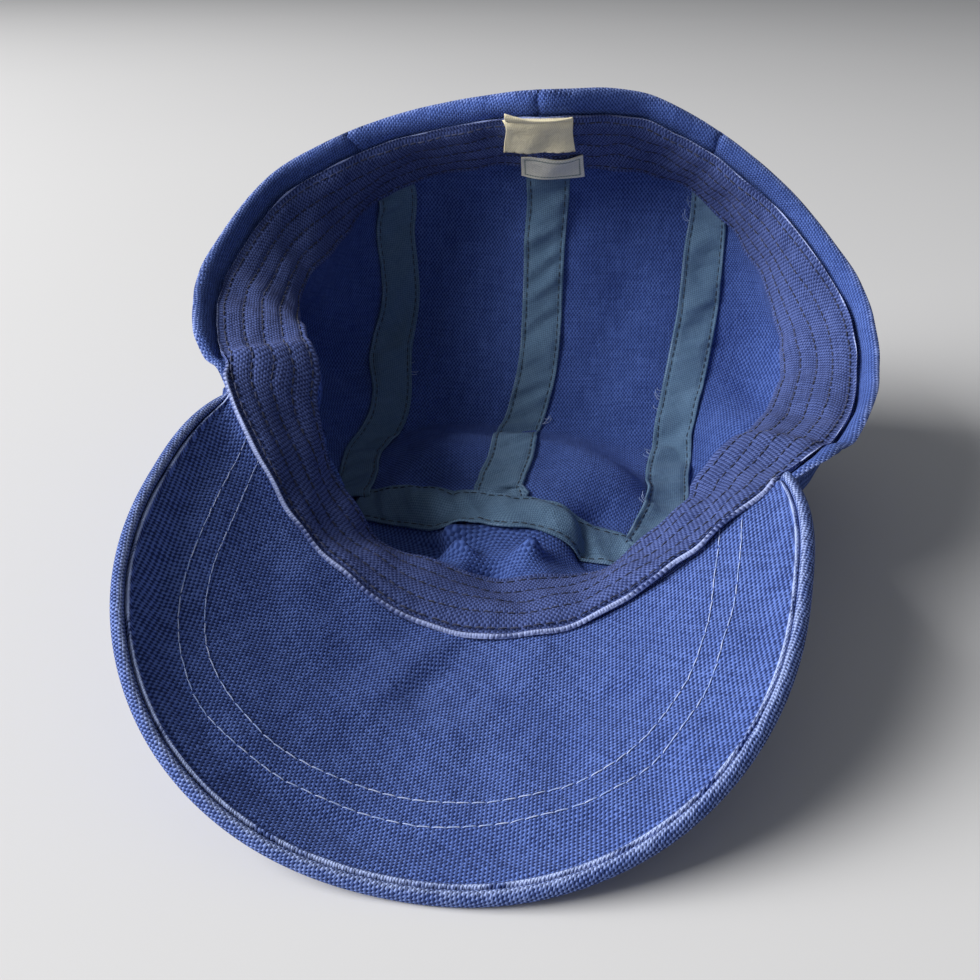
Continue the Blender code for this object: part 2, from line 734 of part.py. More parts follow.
def make_seams():
    lines = {}
    for name, rows in (("left", LEFT_SEAM), ("centre", CENTRE_SEAM), ("right", RIGHT_SEAM),
                       ("left_front", LEFT_FRONT_SEAM), ("right_front", RIGHT_FRONT_SEAM)):
        lines[name] = curve_through([spot(b, s) for b, s in rows], CLOTH_STEP)
    across = [on_floor(x, y) for x, y in FRONT_SEAM]
    lines["front"] = curve_through([lines["left"][-1], *across, lines["right"][-1]], CLOTH_STEP)
    return lines


def settle(group):
    """The middle of the whole cap's foot moved to the origin."""
    view = bpy.context.evaluated_depsgraph_get()
    corners = [Vector(c) for thing in group.objects for c in thing.evaluated_get(view).bound_box]
    low = [min(c[k] for c in corners) for k in range(3)]
    high = [max(c[k] for c in corners) for k in range(3)]
    shift = Vector((-(low[0] + high[0]) / 2, -(low[1] + high[1]) / 2, -low[2]))
    for thing in group.objects:
        thing.data.transform(Matrix.Translation(shift))


clear_scene()
crown = Crown()
cap = make_collection("five_panel_cap")
seam_lines = make_seams()
make_panels(seam_lines, cap)
make_tapes(seam_lines, cap)
make_sweatband(cap)
make_visor(cap)
make_labels(cap)
settle(cap)
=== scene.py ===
# %% [markdown]
# # A five-panel cap in navy canvas
# The cap lies upside down on its crown. Its visor points at the camera with the underside up,
# the front panel is folded down on the table, and the back of the crown stands up like a bowl.
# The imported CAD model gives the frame; this file makes the cloth that covers it.
# Every solid of a cap is cloth, so every CAD node gets a finer piece that stands in its place.

# %% Load the frame
import bpy
import numpy as np
from math import atan2, cos, degrees, hypot, pi, radians, sin, sqrt
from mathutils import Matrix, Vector
from mathutils.geometry import delaunay_2d_cdt
from mathutils.kdtree import KDTree


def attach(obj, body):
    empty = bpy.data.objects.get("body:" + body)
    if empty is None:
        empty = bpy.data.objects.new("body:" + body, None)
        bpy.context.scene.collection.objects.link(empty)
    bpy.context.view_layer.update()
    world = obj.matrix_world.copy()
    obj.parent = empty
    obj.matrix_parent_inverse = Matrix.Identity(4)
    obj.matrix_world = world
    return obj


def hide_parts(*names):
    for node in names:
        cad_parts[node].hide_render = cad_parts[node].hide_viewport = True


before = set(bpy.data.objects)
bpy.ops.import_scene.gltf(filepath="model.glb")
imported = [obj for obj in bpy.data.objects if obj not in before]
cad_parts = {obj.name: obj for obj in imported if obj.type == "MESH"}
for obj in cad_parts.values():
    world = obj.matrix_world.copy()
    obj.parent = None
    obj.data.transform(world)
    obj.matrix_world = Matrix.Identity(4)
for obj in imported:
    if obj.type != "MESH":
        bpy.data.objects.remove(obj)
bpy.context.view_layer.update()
print("CAD nodes:", ", ".join(sorted(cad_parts)))

# %% [markdown]
# ## The camera
# The photograph was taken from above the visor with a wide lens, so near things look large.
# A camera's place can be found by moving it until the rim and the visor's outline lie on
# the photograph's, and that is what these numbers hold. The lens is 36 mm on a 36 mm sensor.

# %% Camera
EYE = Vector((0.0432, -0.2436, 0.1680))
GAZE = Vector((-0.1727, 0.8486, -0.5000))


def in_scene(name, data):
    thing = bpy.data.objects.new(name, data)
    bpy.context.scene.collection.objects.link(thing)
    return thing


def aimed(thing, place, way):
    """A camera or lamp put at a place and turned to look one way."""
    thing.location = place
    thing.rotation_euler = way.to_track_quat("-Z", "Y").to_euler()
    return thing


camera = aimed(in_scene("camera", bpy.data.cameras.new("camera")), EYE, GAZE)
camera.data.lens = 36.04
camera.data.sensor_width = 36.0
camera.data.clip_start = 0.01
bpy.context.scene.camera = camera
print("camera at", [round(c, 3) for c in EYE])

# %% [markdown]
# ## The sizes
# The sizes are the CAD model's own, repeated here because this file reads nothing but the packed
# frame. Only the band, the tapes and the visor's roll are thinner, as real cloth is. The hub is the
# spot on the crown's floor under the middle of the head, and the root is where the visor starts.

# %% Sizes of the cap
HUB = np.array([-0.0021, 0.0217])
ROOT = np.array([-0.0021, -0.0483])
CROWN_HALF_WIDTH = 0.100
CROWN_HEIGHT = 0.120
HUB_RISE = 0.010
PRESS = 0.0030
CREASE_ROUND = 0.014
FOLD_HEIGHT = 0.010
WALL = 0.0020
ROUNDING = 0.0022
HEM_WIDTH = 0.0080
BAND_WIDTH = 0.026
BAND_THICK = 0.0011
BAND_LAY = 0.0011
TAPE_WIDTH = 0.015
TAPE_THICK = 0.0006
VISOR_HALF_WIDTH = 0.0785
VISOR_LENGTH = 0.0745
VISOR_SQUARENESS = 2.4
VISOR_THICK = 0.0033
ROLL_WIDTH = 0.0024
ROOT_HEIGHT = 0.0102
ROOT_SLOPE = 0.24
BEND_RADIUS = 0.107
FRONT_CURL = 0.247
SIDE_TILT = 0.08
LABEL_BEARING = 355.5
WOVEN_BEARING = 357.6

# %% Tables round the rim and the wall
RIM = (
    # bearing, radius, height, band lean, hem, hem lean, visor reach
    (0, .650, .954, -45, 1, 5, 1),
    (20, .840, .930, -42, 1, 5, 1),
    (40, 1.000, .775, -17, 1, 10, 1),
    (60, 1.090, .550, 40, 1, 25, 1),
    (80, 1.005, .400, 72, 1, 35, 1.09),
    (100, .895, .346, 76, .9, 45, 1.09),
    (120, .790, .320, 58, .1, 55, 1.045),
    (140, .710, .183, 66, .1, 66, .995),
    (160, .705, .108, 86, .1, 86, .985),
    (180, .710, .088, 98, .1, 98, 1),
    (200, .730, .138, 84, .1, 84, 1.01),
    (220, .760, .246, 62, .1, 62, 1.005),
    (240, .825, .454, 64, .1, 60, 1.015),
    (260, .885, .554, 84, .9, 45, 1.015),
    (280, .965, .629, 68, 1, 35, 1),
    (300, .990, .763, 24, 1, 15, 1),
    (320, .865, .870, -38, 1, 5, 1),
    (340, .690, .933, -50, 1, 5, 1),
)
WALLS = (
    # bearing, belly radius, belly height, crease radius, crease height
    (0, .87, .42, .66, 0),
    (20, .98, .40, .64, 0),
    (40, 1.12, .30, .66, 0),
    (60, 1.07, .22, .68, 0),
    (80, .92, .18, .66, 0),
    (100, .75, .17, .56, 0),
    (120, .62, .12, .46, 0),
    (140, .425, .06, .37, .05),
    (160, .390, .074, .33, .08),
    (180, .395, .093, .33, .09),
    (200, .415, .082, .35, .07),
    (220, .510, .11, .42, .03),
    (240, .66, .20, .56, 0),
    (260, .80, .30, .62, 0),
    (280, .90, .33, .66, 0),
    (300, .98, .35, .72, 0),
    (320, 1.03, .38, .72, 0),
    (340, .94, .40, .68, 0),
)

# %% [markdown]
# ## Folds and creases
# Soft folds are smooth bumps. A bump has a place, a reach each way, a turn and a height.
# A buckle is sharper: the cloth stands up on one side of a line and slopes away behind it, as the
# sweatband does at the cap's left, where its front part overlaps its back part.

# %% Tables of folds and seams
FOLDS = (
    # bearing, share, reach across, reach along, turn, height
    (314, .23, .14, .12, 20, .80),
    (35, .19, .13, .10, -25, .70),
    (40, .32, .085, .11, -40, -.32),
    (262, .21, .09, .08, 0, .45),
    (120, .22, .10, .09, 0, .35),
    (208, .62, .15, .14, 25, -.35),
    (179, .66, .15, .13, 0, -.45),
    (143, .62, .13, .13, -30, -.30),
    (309, .57, .055, .16, -50, -.70),
    (303, .69, .075, .14, -50, .45),
    (53, .52, .065, .10, 50, .50),
    (46, .58, .055, .10, 30, -.35),
    (249, .86, .11, .18, 70, .18),
    (96, .80, .11, .18, -70, .20),
    (226, .41, .050, .070, 30, -.95),
    (214, .33, .045, .055, 0, .50),
    (181, .57, .060, .050, 0, -1.1),
    (164, .47, .050, .055, -20, .60),
    (197, .49, .035, .070, 60, .60),
    (281, .74, .150, .280, 0, -.72),
    (239, .74, .120, .110, 33, -.40),
    (128, .40, .040, .080, 40, -.35),
    (95, .19, .050, .065, 0, -.45),
    (277, .175, .030, .040, 0, -.30),
    (5, .17, .060, .030, 0, .18),
)
BUCKLES = (
    # bearing, share, turn from the rim's run, rise width, fall length, length of the line, height
    (252, .885, 0, .0020, .020, .021, .0042),
    (98, .87, 180, .0026, .022, .018, .0046),
)
LEFT_SEAM = (
    # bearing, share of the way from hub to rim
    (311, 1), (318, .90), (324, .81), (324, .73), (324, .66), (323, .60), (319, .53),
    (314, .45), (305, .405), (295, .375), (281, .33), (265, .32),
)
CENTRE_SEAM = (
    # bearing, share of the way from hub to rim
    (354, 1), (356, .88), (356.5, .79), (356, .66), (356, .47), (353, .355), (350, .28), (342, .09),
    (205, .10), (184, .19),
)
RIGHT_SEAM = (
    # bearing, share of the way from hub to rim
    (33, 1), (31, .90), (29, .82), (28, .73), (29, .64), (31, .55), (35, .46), (40, .39),
    (56, .32), (81, .295), (110, .36),
)
LEFT_FRONT_SEAM = ((265, .32), (248, .64), (236, 1))
RIGHT_FRONT_SEAM = ((110, .36), (120, .68), (129, 1))
FRONT_SEAM = (
    # share of the crown's half width to the right, share of the way from root to hub
    (-.33, .87), (-.15, .83), (0, .815), (.18, .81),
)

# %% [markdown]
# ## One surface under everything
# A cap's lining, band, tapes and panels all follow one curved cloth. So one surface is worked out
# first, as the crown's inner face, and each piece is laid at its own height over it. The surface is
# read in a pattern: a bearing round the hub and a share of the way from the hub to the rim.

# %% Smooth columns of a table
def eased(a, b, c, d, f):
    """A smooth line's place at a share f of the way from b to c, with a before and d after."""
    return b + f / 2 * (c - a + f * (2 * a - 5 * b + 4 * c - d + f * (3 * (b - c) + d - a)))


def column(rows, index):
    values = np.array([row[index] for row in rows], float)
    count = len(values)

    def read(bearing):
        place = (np.asarray(bearing, float) / 360 * count) % count
        start = np.floor(place).astype(int)
        f = place - start
        return eased(*(values[(start + k) % count] for k in (-1, 0, 1, 2)), f)

    return read


rim_radius, rim_height, band_lean, hem_rows, hem_lean = (column(RIM, k) for k in range(1, 6))
visor_reach = column(RIM, 6)
belly_radius, belly_height, crease_radius, crease_height = (column(WALLS, k) for k in range(1, 5))
print("rim radius at the back, mm:", round(float(rim_radius(0)) * 100, 1))

# %% The crown's outline in one upright plane
def hem_share(bearing):
    """The share of the hem's width. It ends quickly where the visor is sewn on."""
    return np.clip(1.9 * hem_rows(bearing) - 0.2, 0.1, 1.03)


def heading(lean):
    return np.array([sin(radians(lean)), cos(radians(lean))])


def hermite(start, leave, end, arrive, steps):
    t = np.linspace(0, 1, steps)[:, None]
    return ((2 * t**3 - 3 * t**2 + 1) * start + (t**3 - 2 * t**2 + t) * leave
            + (3 * t**2 - 2 * t**3) * end + (t**3 - t**2) * arrive)


def profile(bearing, steps=24):
    crease = np.array([CROWN_HALF_WIDTH * crease_radius(bearing),
                       WALL - PRESS + CROWN_HEIGHT * crease_height(bearing)])
    belly = np.array([CROWN_HALF_WIDTH * belly_radius(bearing),
                      WALL + CROWN_HEIGHT * belly_height(bearing)])
    band_top = np.array([CROWN_HALF_WIDTH * rim_radius(bearing), CROWN_HEIGHT * rim_height(bearing)])
    lean = heading(float(band_lean(bearing)))
    band_foot = band_top - lean * BAND_WIDTH
    rim = band_top + heading(float(hem_lean(bearing))) * HEM_WIDTH * float(hem_share(bearing))
    up = (belly - crease) / np.linalg.norm(belly - crease)
    fillet = min(CREASE_ROUND, 0.6 * np.linalg.norm(belly - crease))
    run = np.linspace(0, crease[0] - fillet, steps)
    dome = (HUB_RISE + WALL - crease[1]) * (1 - (run / run[-1])**2)
    floor = np.stack([run, crease[1] + dome], -1)
    t = np.linspace(0, 1, steps)[:, None]
    foot = crease + up * fillet
    corner = (1 - t)**2 * floor[-1] + 2 * t * (1 - t) * crease + t**2 * foot
    through = (band_foot - crease) / np.linalg.norm(band_foot - crease)
    low, high = np.linalg.norm(belly - foot), np.linalg.norm(band_foot - belly)
    wall = hermite(foot, up * low, belly, through * low, steps)
    waist = hermite(belly, through * high, band_foot, lean * high, steps)
    band = band_foot + (band_top - band_foot) * t
    hem = band_top + (rim - band_top) * t
    line = np.concatenate([floor[:-1], corner[:-1], wall[:-1], waist[:-1], band[:-1], hem])
    line[:, 1] = np.maximum(line[:, 1], WALL)
    return line

# %% [markdown]
# Cloth is never quite smooth. Sine waves in a few chance directions, always the same ones, make a
# quiet unevenness that has no grid in it and costs almost nothing.

# %% Unevenness
def ripples(points, wavelength, seed, count=10):
    chance = np.random.default_rng(seed)
    ways = chance.normal(size=(count, 3))
    waves = 2 * pi / wavelength / np.linalg.norm(ways, axis=1) * chance.uniform(.7, 1.3, count)
    ways *= waves[:, None]
    return np.sin(points @ ways.T + chance.uniform(0, 2 * pi, count)).sum(-1) / sqrt(count / 2)


def unevenness(points, *rows):
    """Ripples added up, each as its height, wavelength and seed."""
    return sum(tall * ripples(points, wavelength, seed) for tall, wavelength, seed in rows)

# %% [markdown]
# Cloth that is folded, sewn or quilted has ridges and grooves that run along it. One bell curve
# makes any of them: its height, or its depth below zero, its place across the strip and its reach.

# %% Ridges, and lengths along a line
def bump(x):
    return np.exp(-np.asarray(x, float)**2)


def ridges(x, *rows):
    """Ridges and grooves across a strip, each as its height, place and reach."""
    return sum(tall * bump((x - place) / reach) for tall, place, reach in rows)


def run_along(points):
    return np.r_[0, np.cumsum(np.linalg.norm(np.diff(points, axis=0), axis=1))]


def read_at(where, run, values):
    """Rows of values, which lie at the lengths in run, read at other lengths."""
    return np.stack([np.interp(where, run, row) for row in values.T], -1)


def spot(bearing, share):
    bearing = np.radians(np.asarray(bearing, float))
    return np.stack([np.sin(bearing) * share, np.cos(bearing) * share], -1)


def bearing_of(spots):
    return np.degrees(np.arctan2(spots[..., 0], spots[..., 1]))


print("a ridge at its middle and at its reach:", [round(float(bump(x)), 2) for x in (0, 1)])

# %% The surface
class Crown:
    bearings = 288
    rings = 241

    def __init__(self):
        self.points = np.zeros((self.bearings, self.rings, 3))
        self.lengths = np.zeros(self.bearings)
        for i in range(self.bearings):
            bearing = 360 * i / self.bearings
            line = profile(bearing)
            run = run_along(line)
            even = np.linspace(0, run[-1], self.rings)
            flat = read_at(even, run, line)
            for _ in range(round(2 * (ROUNDING / even[1])**2)):
                flat[1:-1] = (flat[:-2] + 2 * flat[1:-1] + flat[2:]) / 4
            self.lengths[i] = run[-1]
            self.points[i, :, 0] = HUB[0] + flat[:, 0] * sin(radians(bearing))
            self.points[i, :, 1] = HUB[1] + flat[:, 0] * cos(radians(bearing))
            self.points[i, :, 2] = flat[:, 1]
        self.buckles = []

    def length(self, bearing):
        place = np.asarray(bearing, float) % 360 / 360 * self.bearings
        i = np.floor(place).astype(int) % self.bearings
        f = place - np.floor(place)
        return self.lengths[i] * (1 - f) + self.lengths[(i + 1) % self.bearings] * f

    def bare(self, spots):
        """The face before folds. A share over 1 goes straight on past the rim."""
        spots = np.asarray(spots, float)
        flat = spots.reshape(-1, 2)
        place = bearing_of(flat) % 360 / 360 * self.bearings
        i = np.floor(place).astype(int)
        f = (place - i)[:, None]
        step = np.hypot(flat[:, 0], flat[:, 1]) * (self.rings - 1)
        j = np.minimum(np.floor(step).astype(int), self.rings - 2)
        g = (step - j)[:, None]
        here, after = self.points[i % self.bearings], self.points[(i + 1) % self.bearings]
        rows = np.arange(len(flat))
        a = here[rows, j] * (1 - g) + here[rows, j + 1] * g
        b = after[rows, j] * (1 - g) + after[rows, j + 1] * g
        return (a * (1 - f) + b * f).reshape(*spots.shape[:-1], 3)

    def slopes(self, spots, read, reach=0.007):
        east, north = np.array([reach, 0]), np.array([0, reach])
        return ((read(spots + east) - read(spots - east)) / (2 * reach),
                (read(spots + north) - read(spots - north)) / (2 * reach))

    def normal(self, spots, read):
        """The direction from the cloth into the cap."""
        out = np.cross(*self.slopes(np.asarray(spots, float), read))
        return out / np.linalg.norm(out, axis=-1, keepdims=True)

    def down(self, spots):
        """How far below the rim each place lies."""
        return (1 - np.hypot(spots[..., 0], spots[..., 1])) * self.length(bearing_of(spots))

    def hem(self, spots):
        return hem_share(bearing_of(spots))

    def rise(self, spots, bare):
        """The height of the folds, the buckles, the rolled hem and the small unevenness."""
        height = np.zeros(spots.shape[:-1])
        for bearing, share, across, along, turn, tall in FOLDS:
            away = spots - spot(bearing, share)
            c, s = cos(radians(turn)), sin(radians(turn))
            u = (away[..., 0] * c + away[..., 1] * s) / across
            v = (-away[..., 0] * s + away[..., 1] * c) / along
            height += FOLD_HEIGHT * tall * np.exp(-(u**2 + v**2))
        for centre, run, cross, sharp, fall, reach, tall in self.buckles:
            away = bare - centre
            s, t = away @ run, away @ cross
            lift = 0.5 * (1 + np.tanh(s / sharp)) * np.exp(-np.maximum(s, 0) / fall)
            height += tall * lift * bump(t / reach)
        share, down = self.hem(spots), self.down(spots)
        width = np.maximum(HEM_WIDTH * share, 1e-4)
        middle = 0.42 * width
        height += share * ridges(down, (.0011, middle, middle), (-.0012, width + .0002, .0013))
        return height + unevenness(bare, (.00026, .030, 3), (.00012, .012, 5))

    def face(self, spots):
        spots = np.asarray(spots, float)
        bare = self.bare(spots)
        points = bare + self.normal(spots, self.bare) * self.rise(spots, bare)[..., None]
        points[..., 2] = np.maximum(points[..., 2], WALL)
        return points

    def over(self, spots, height):
        """A place over the cloth, on its inner side."""
        spots = np.asarray(spots, float)
        return self.face(spots) + self.normal(spots, self.face) * np.asarray(height)[..., None]


crown = Crown()
for bearing, share, turn, sharp, fall, reach, tall in BUCKLES:
    place = spot(bearing, share)
    inward = crown.normal(place[None], crown.bare)[0]
    run = crown.bare(spot(bearing - 2, share)) - crown.bare(spot(bearing + 2, share))
    run = run / np.linalg.norm(run) * cos(radians(turn))
    crown.buckles.append((crown.bare(place), run, np.cross(inward, run), sharp, fall, reach, tall))
print("hub to rim, mm:", round(crown.lengths.min() * 1000), "to", round(crown.lengths.max() * 1000))

# %% Lines on the cloth
def resample(fine, step):
    run = run_along(crown.bare(fine))
    return read_at(np.linspace(0, run[-1], max(2, int(round(run[-1] / step)) + 1)), run, fine)


def smooth_through(places, steps=24):
    """A smooth line through places, with so many steps from each to the next."""
    places = np.asarray(places, float)
    ends = np.concatenate([[2 * places[0] - places[1]], places, [2 * places[-1] - places[-2]]])
    t = np.linspace(0, 1, steps, endpoint=False)[:, None]
    parts = [eased(*four, t) for four in zip(ends, ends[1:], ends[2:], ends[3:])]
    return np.concatenate([*parts, places[-1:]])


def curve_through(spots, step):
    return resample(smooth_through(spots), step)


def on_floor(across, from_root):
    x, y = across * CROWN_HALF_WIDTH, (from_root - 1) * (HUB[1] - ROOT[1])
    bearing = degrees(atan2(x, y))
    return spot(bearing, hypot(x, y) / crown.length(bearing))


def below_rim(bearing, down):
    return spot(bearing, 1 - np.asarray(down, float) / crown.length(bearing))


def walked(line, distance, steps=4):
    """A line of the pattern moved to its left by a distance measured on the cloth."""
    line = np.array(line, float)
    distance = np.broadcast_to(distance, len(line))
    side = np.cross(crown.normal(line, crown.bare), np.gradient(crown.bare(line), axis=0))
    side /= np.linalg.norm(side, axis=-1, keepdims=True)
    for _ in range(steps):
        east, north = crown.slopes(line, crown.bare)
        ee, en, nn = (east * east).sum(-1), (east * north).sum(-1), (north * north).sum(-1)
        se, sn = (side * east).sum(-1), (side * north).sum(-1)
        move = np.stack([se * nn - sn * en, sn * ee - se * en], -1) / (ee * nn - en**2)[:, None]
        moved = east * move[:, :1] + north * move[:, 1:]
        line = line + move * (distance / steps / np.linalg.norm(moved, axis=-1))[:, None]
    return line


FINE = 0.0016
seams = {name: curve_through([spot(b, s) for b, s in rows], FINE)
         for name, rows in (("left", LEFT_SEAM), ("centre", CENTRE_SEAM), ("right", RIGHT_SEAM),
                            ("left_front", LEFT_FRONT_SEAM), ("right_front", RIGHT_FRONT_SEAM))}
seams["front"] = curve_through([seams["left"][-1], *(on_floor(x, y) for x, y in FRONT_SEAM),
                                seams["right"][-1]], FINE)
print("seams, points each:", {name: len(line) for name, line in seams.items()})

# %% [markdown]
# ## Building pieces
# A piece of cloth is a closed shell: a face that looks into the cap, one that looks out, and a
# narrow side between them. Numbers that a finish needs, such as where the threads run and how worn
# a place is, are kept on the points of the mesh.

# %% Mesh helpers
def cloth_shell(name, near, far, faces, **marks):
    """A shell from its two faces. The face's corners run so that near looks out of the shell."""
    count = len(near)
    faces = [tuple(int(k) for k in face) for face in faces]
    edges = {}
    for face in faces:
        for a, b in zip(face, face[1:] + face[:1]):
            if (b, a) in edges:
                del edges[b, a]
            else:
                edges[a, b] = True
    whole = faces + [tuple(k + count for k in reversed(face)) for face in faces]
    whole += [(b, a, a + count, b + count) for a, b in edges]
    marks = {key: np.concatenate([value, value]) for key, value in marks.items()}
    return mesh_piece(name, np.concatenate([near, far]), whole, **marks)


def mesh_piece(name, vertices, faces, **marks):
    mesh = bpy.data.meshes.new(name)
    mesh.from_pydata(np.asarray(vertices, float).tolist(), [], faces)
    mesh.validate()
    for key, value in marks.items():
        value = np.asarray(value, np.float32)
        kind, field = ("FLOAT_VECTOR", "vector") if value.ndim == 2 else ("FLOAT", "value")
        mesh.attributes.new(key, kind, "POINT").data.foreach_set(field, value.ravel())
    mesh.shade_smooth()
    return in_scene(name, mesh)


def grid_faces(rows, columns):
    corners = [i * columns + j for i in range(rows - 1) for j in range(columns - 1)]
    return [(k, k + 1, k + columns + 1, k + columns) for k in corners]


def tube_faces(rings, sides, start=0):
    """The faces round a tube whose points are rings of so many sides, one after the other."""
    corners = [(start + i * sides, k) for i in range(rings - 1) for k in range(sides)]
    return [(ring + k, ring + (k + 1) % sides, ring + (k + 1) % sides + sides, ring + k + sides)
            for ring, k in corners]


def tube_ends(rings, sides, start=0):
    last = start + (rings - 1) * sides
    return [tuple(reversed(range(start, start + sides))), tuple(range(last, last + sides))]


def settle(piece, slot, *nodes):
    """The piece rides on the cap and stands for its CAD nodes. The slot is not used."""
    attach(piece, "root")
    if nodes:
        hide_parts(*nodes)
    return piece

# %% [markdown]
# ## Where the threads run
# Real panels are cut flat, and their threads bend with them. Unwrapping the panel's mesh finds that
# flat cut again. The result is scaled to metres and turned so that the threads run down the panel,
# then kept on the points as the mark called cloth.

# %% The flat cut of a panel
def flat_cut(points, faces, foot, head):
    mesh = bpy.data.meshes.new("flat")
    mesh.from_pydata(points.tolist(), [], [tuple(int(k) for k in face) for face in faces])
    piece = in_scene("flat", mesh)
    bpy.context.view_layer.objects.active = piece
    bpy.ops.object.mode_set(mode="EDIT")
    bpy.ops.mesh.select_all(action="SELECT")
    bpy.ops.uv.unwrap(method="CONFORMAL", margin=0)
    bpy.ops.object.mode_set(mode="OBJECT")
    corners = np.zeros(len(mesh.loops) * 2)
    mesh.uv_layers.active.data.foreach_get("uv", corners)
    owner = np.zeros(len(mesh.loops), int)
    mesh.loops.foreach_get("vertex_index", owner)
    flat = np.zeros((len(points), 2))
    flat[owner] = corners.reshape(-1, 2)
    bpy.data.objects.remove(piece, do_unlink=True)
    bpy.data.meshes.remove(mesh)
    ends = np.array([[f[0], f[1]] for f in faces])
    real = np.linalg.norm(points[ends[:, 0]] - points[ends[:, 1]], axis=1)
    drawn = np.linalg.norm(flat[ends[:, 0]] - flat[ends[:, 1]], axis=1)
    flat *= np.median(real / np.maximum(drawn, 1e-12))
    grain = flat[head] - flat[foot]
    c, s = grain[1] / np.linalg.norm(grain), grain[0] / np.linalg.norm(grain)
    x, y = flat.T
    return np.stack([x * c - y * s, x * s + y * c, 0 * x], -1)

# %% [markdown]
# ## Stitches
# A seam's thread is a separate thing that catches light, so each stitch is a small bead of mesh:
# a short rod that dives into the cloth at both ends. All the beads of a row are made at once.

# %% Rows of stitches
BEAD = (
    # place in the stitch's length, height and width in the thread's radius
    (-.5, -.9, .5), (-.38, .2, .9), (-.15, .5, 1), (.15, .5, 1), (.38, .2, .9), (.5, -.9, .5),
)
BEAD_SIDES = 6


def stitches(name, points, normals, sizes, seed):
    """A row of stitches along points. The sizes are pitch, length and the thread's radius."""
    pitch, length, radius = sizes
    run = run_along(points)
    middles = np.arange(pitch / 2, run[-1], pitch)
    chance = np.random.default_rng(seed)
    middles = middles + chance.normal(0, 0.06 * pitch, len(middles))
    centre, up = read_at(middles, run, points), read_at(middles, run, normals)
    along = read_at(middles + length / 2, run, points) - read_at(middles - length / 2, run, points)
    along /= np.maximum(np.linalg.norm(along, axis=1, keepdims=True), 1e-9)
    side = np.cross(up, along)
    along = along + side * chance.normal(0, 0.05, len(middles))[:, None]
    vertices, faces = [], []
    for place, height, width in BEAD:
        for k in range(BEAD_SIDES):
            angle = 2 * pi * k / BEAD_SIDES
            vertices.append(centre + along * (place * length) + up * (height * radius)
                            + (up * cos(angle) + side * sin(angle)) * (radius * width))
    for i in range(len(middles)):
        bead = len(BEAD), BEAD_SIDES, i * len(BEAD) * BEAD_SIDES
        faces += tube_faces(*bead) + tube_ends(*bead)
    return mesh_piece(name, np.stack(vertices, 1).reshape(-1, 3), faces)


def stitches_on_cloth(name, spots, height, sizes, seed):
    return stitches(name, crown.over(spots, height), crown.normal(spots, crown.face), sizes, seed)


def joined(name, pieces):
    bpy.ops.object.select_all(action="DESELECT")
    for piece in pieces:
        piece.select_set(True)
    bpy.context.view_layer.objects.active = pieces[0]
    bpy.ops.object.join()
    pieces[0].name = name
    return pieces[0]

# %% [markdown]
# ## The five panels
# A panel is a piece of the pattern bounded by its seams and the rim. Its outline is filled with
# even triangles, small enough for the folds. At a seam the cloth turns down into a groove, beside it
# the seam's folded edges make it thicker, and at the rim it turns over in a round hem.

# %% Outlines of the panels
def rim_arc(start, end):
    low, high = (degrees(atan2(place[0], place[1])) % 360 for place in (start, end))
    high += 360 if high < low else 0
    return resample(spot(np.linspace(low, high, 240), 1.0), FINE)


def crossing(a, b, c, d):
    along, other = b - a, d - c
    turn = along[0] * other[1] - along[1] * other[0]
    return a + along * ((c[0] - a[0]) * other[1] - (c[1] - a[1]) * other[0]) / turn


def outline_of(*lines):
    """An outline whose lines are cut, or carried on, to where each meets the next."""
    parts = []
    for line, after in zip(lines, lines[1:] + lines[:1]):
        parts += [line[1:-1], [crossing(line[-2], line[-1], after[0], after[1])]]
    return np.concatenate(parts)


def inside_of(points, outline, distance):
    x, y = points[:, 0], points[:, 1]
    inside = np.zeros(len(points), bool)
    for a, b in zip(outline, np.roll(outline, -1, axis=0)):
        rise = b[1] - a[1] if b[1] != a[1] else 1e-12
        inside ^= ((a[1] > y) != (b[1] > y)) & (x < a[0] + (y - a[1]) / rise * (b[0] - a[0]))
    points = points[inside]
    edge = KDTree(len(outline))
    for k, place in enumerate(crown.bare(outline)):
        edge.insert(place, k)
    edge.balance()
    return points[[edge.find(p)[2] > distance for p in crown.bare(points)]]


gap = -0.00015    # below zero the panels overlap a little, so that no light comes through a seam
front, left, centre, right = (seams[name] for name in ("front", "left", "centre", "right"))
left_front, right_front = seams["left_front"], seams["right_front"]
split = int(np.argmin(np.linalg.norm(front - centre[-1], axis=1)))
outlines = {
    "front_panel": outline_of(walked(front, -gap), walked(right_front, -gap),
                              rim_arc(right_front[-1], left_front[-1]),
                              walked(left_front, gap)[::-1]),
    "top_panel_left": outline_of(walked(left, gap)[::-1], rim_arc(left[0], centre[0]),
                                 walked(centre, -gap), walked(front[:split + 1], gap)[::-1]),
    "top_panel_right": outline_of(walked(centre, gap)[::-1], rim_arc(centre[0], right[0]),
                                  walked(right, -gap), walked(front[split:], gap)[::-1]),
    "side_panel_left": outline_of(walked(left, -gap), walked(left_front, -gap),
                                  rim_arc(left_front[-1], left[0])),
    "side_panel_right": outline_of(walked(right_front, gap)[::-1], walked(right, gap)[::-1],
                                   rim_arc(right[0], right_front[-1])),
}
print("outline points:", {name: len(line) for name, line in outlines.items()})

# %% Panels
def rounding(distance, radius):
    """How far a face draws back near a rounded edge."""
    near = np.clip(radius - distance, 0, radius)
    return radius - np.sqrt(np.maximum(radius**2 - near**2, 0))


seam_tree = KDTree(sum(len(line) for line in seams.values()))
for k, place in enumerate(np.concatenate([crown.bare(line) for line in seams.values()])):
    seam_tree.insert(place, k)
seam_tree.balance()
rings = [resample(spot(np.linspace(0, 360, 241), share), FINE)[:-1]
         for share in np.arange(0.004, 0.999, 1 / 104)]
scatter = np.concatenate(rings)


SEAM_REACH = 0.0009
SEAM_ALLOWANCE = 0.0075


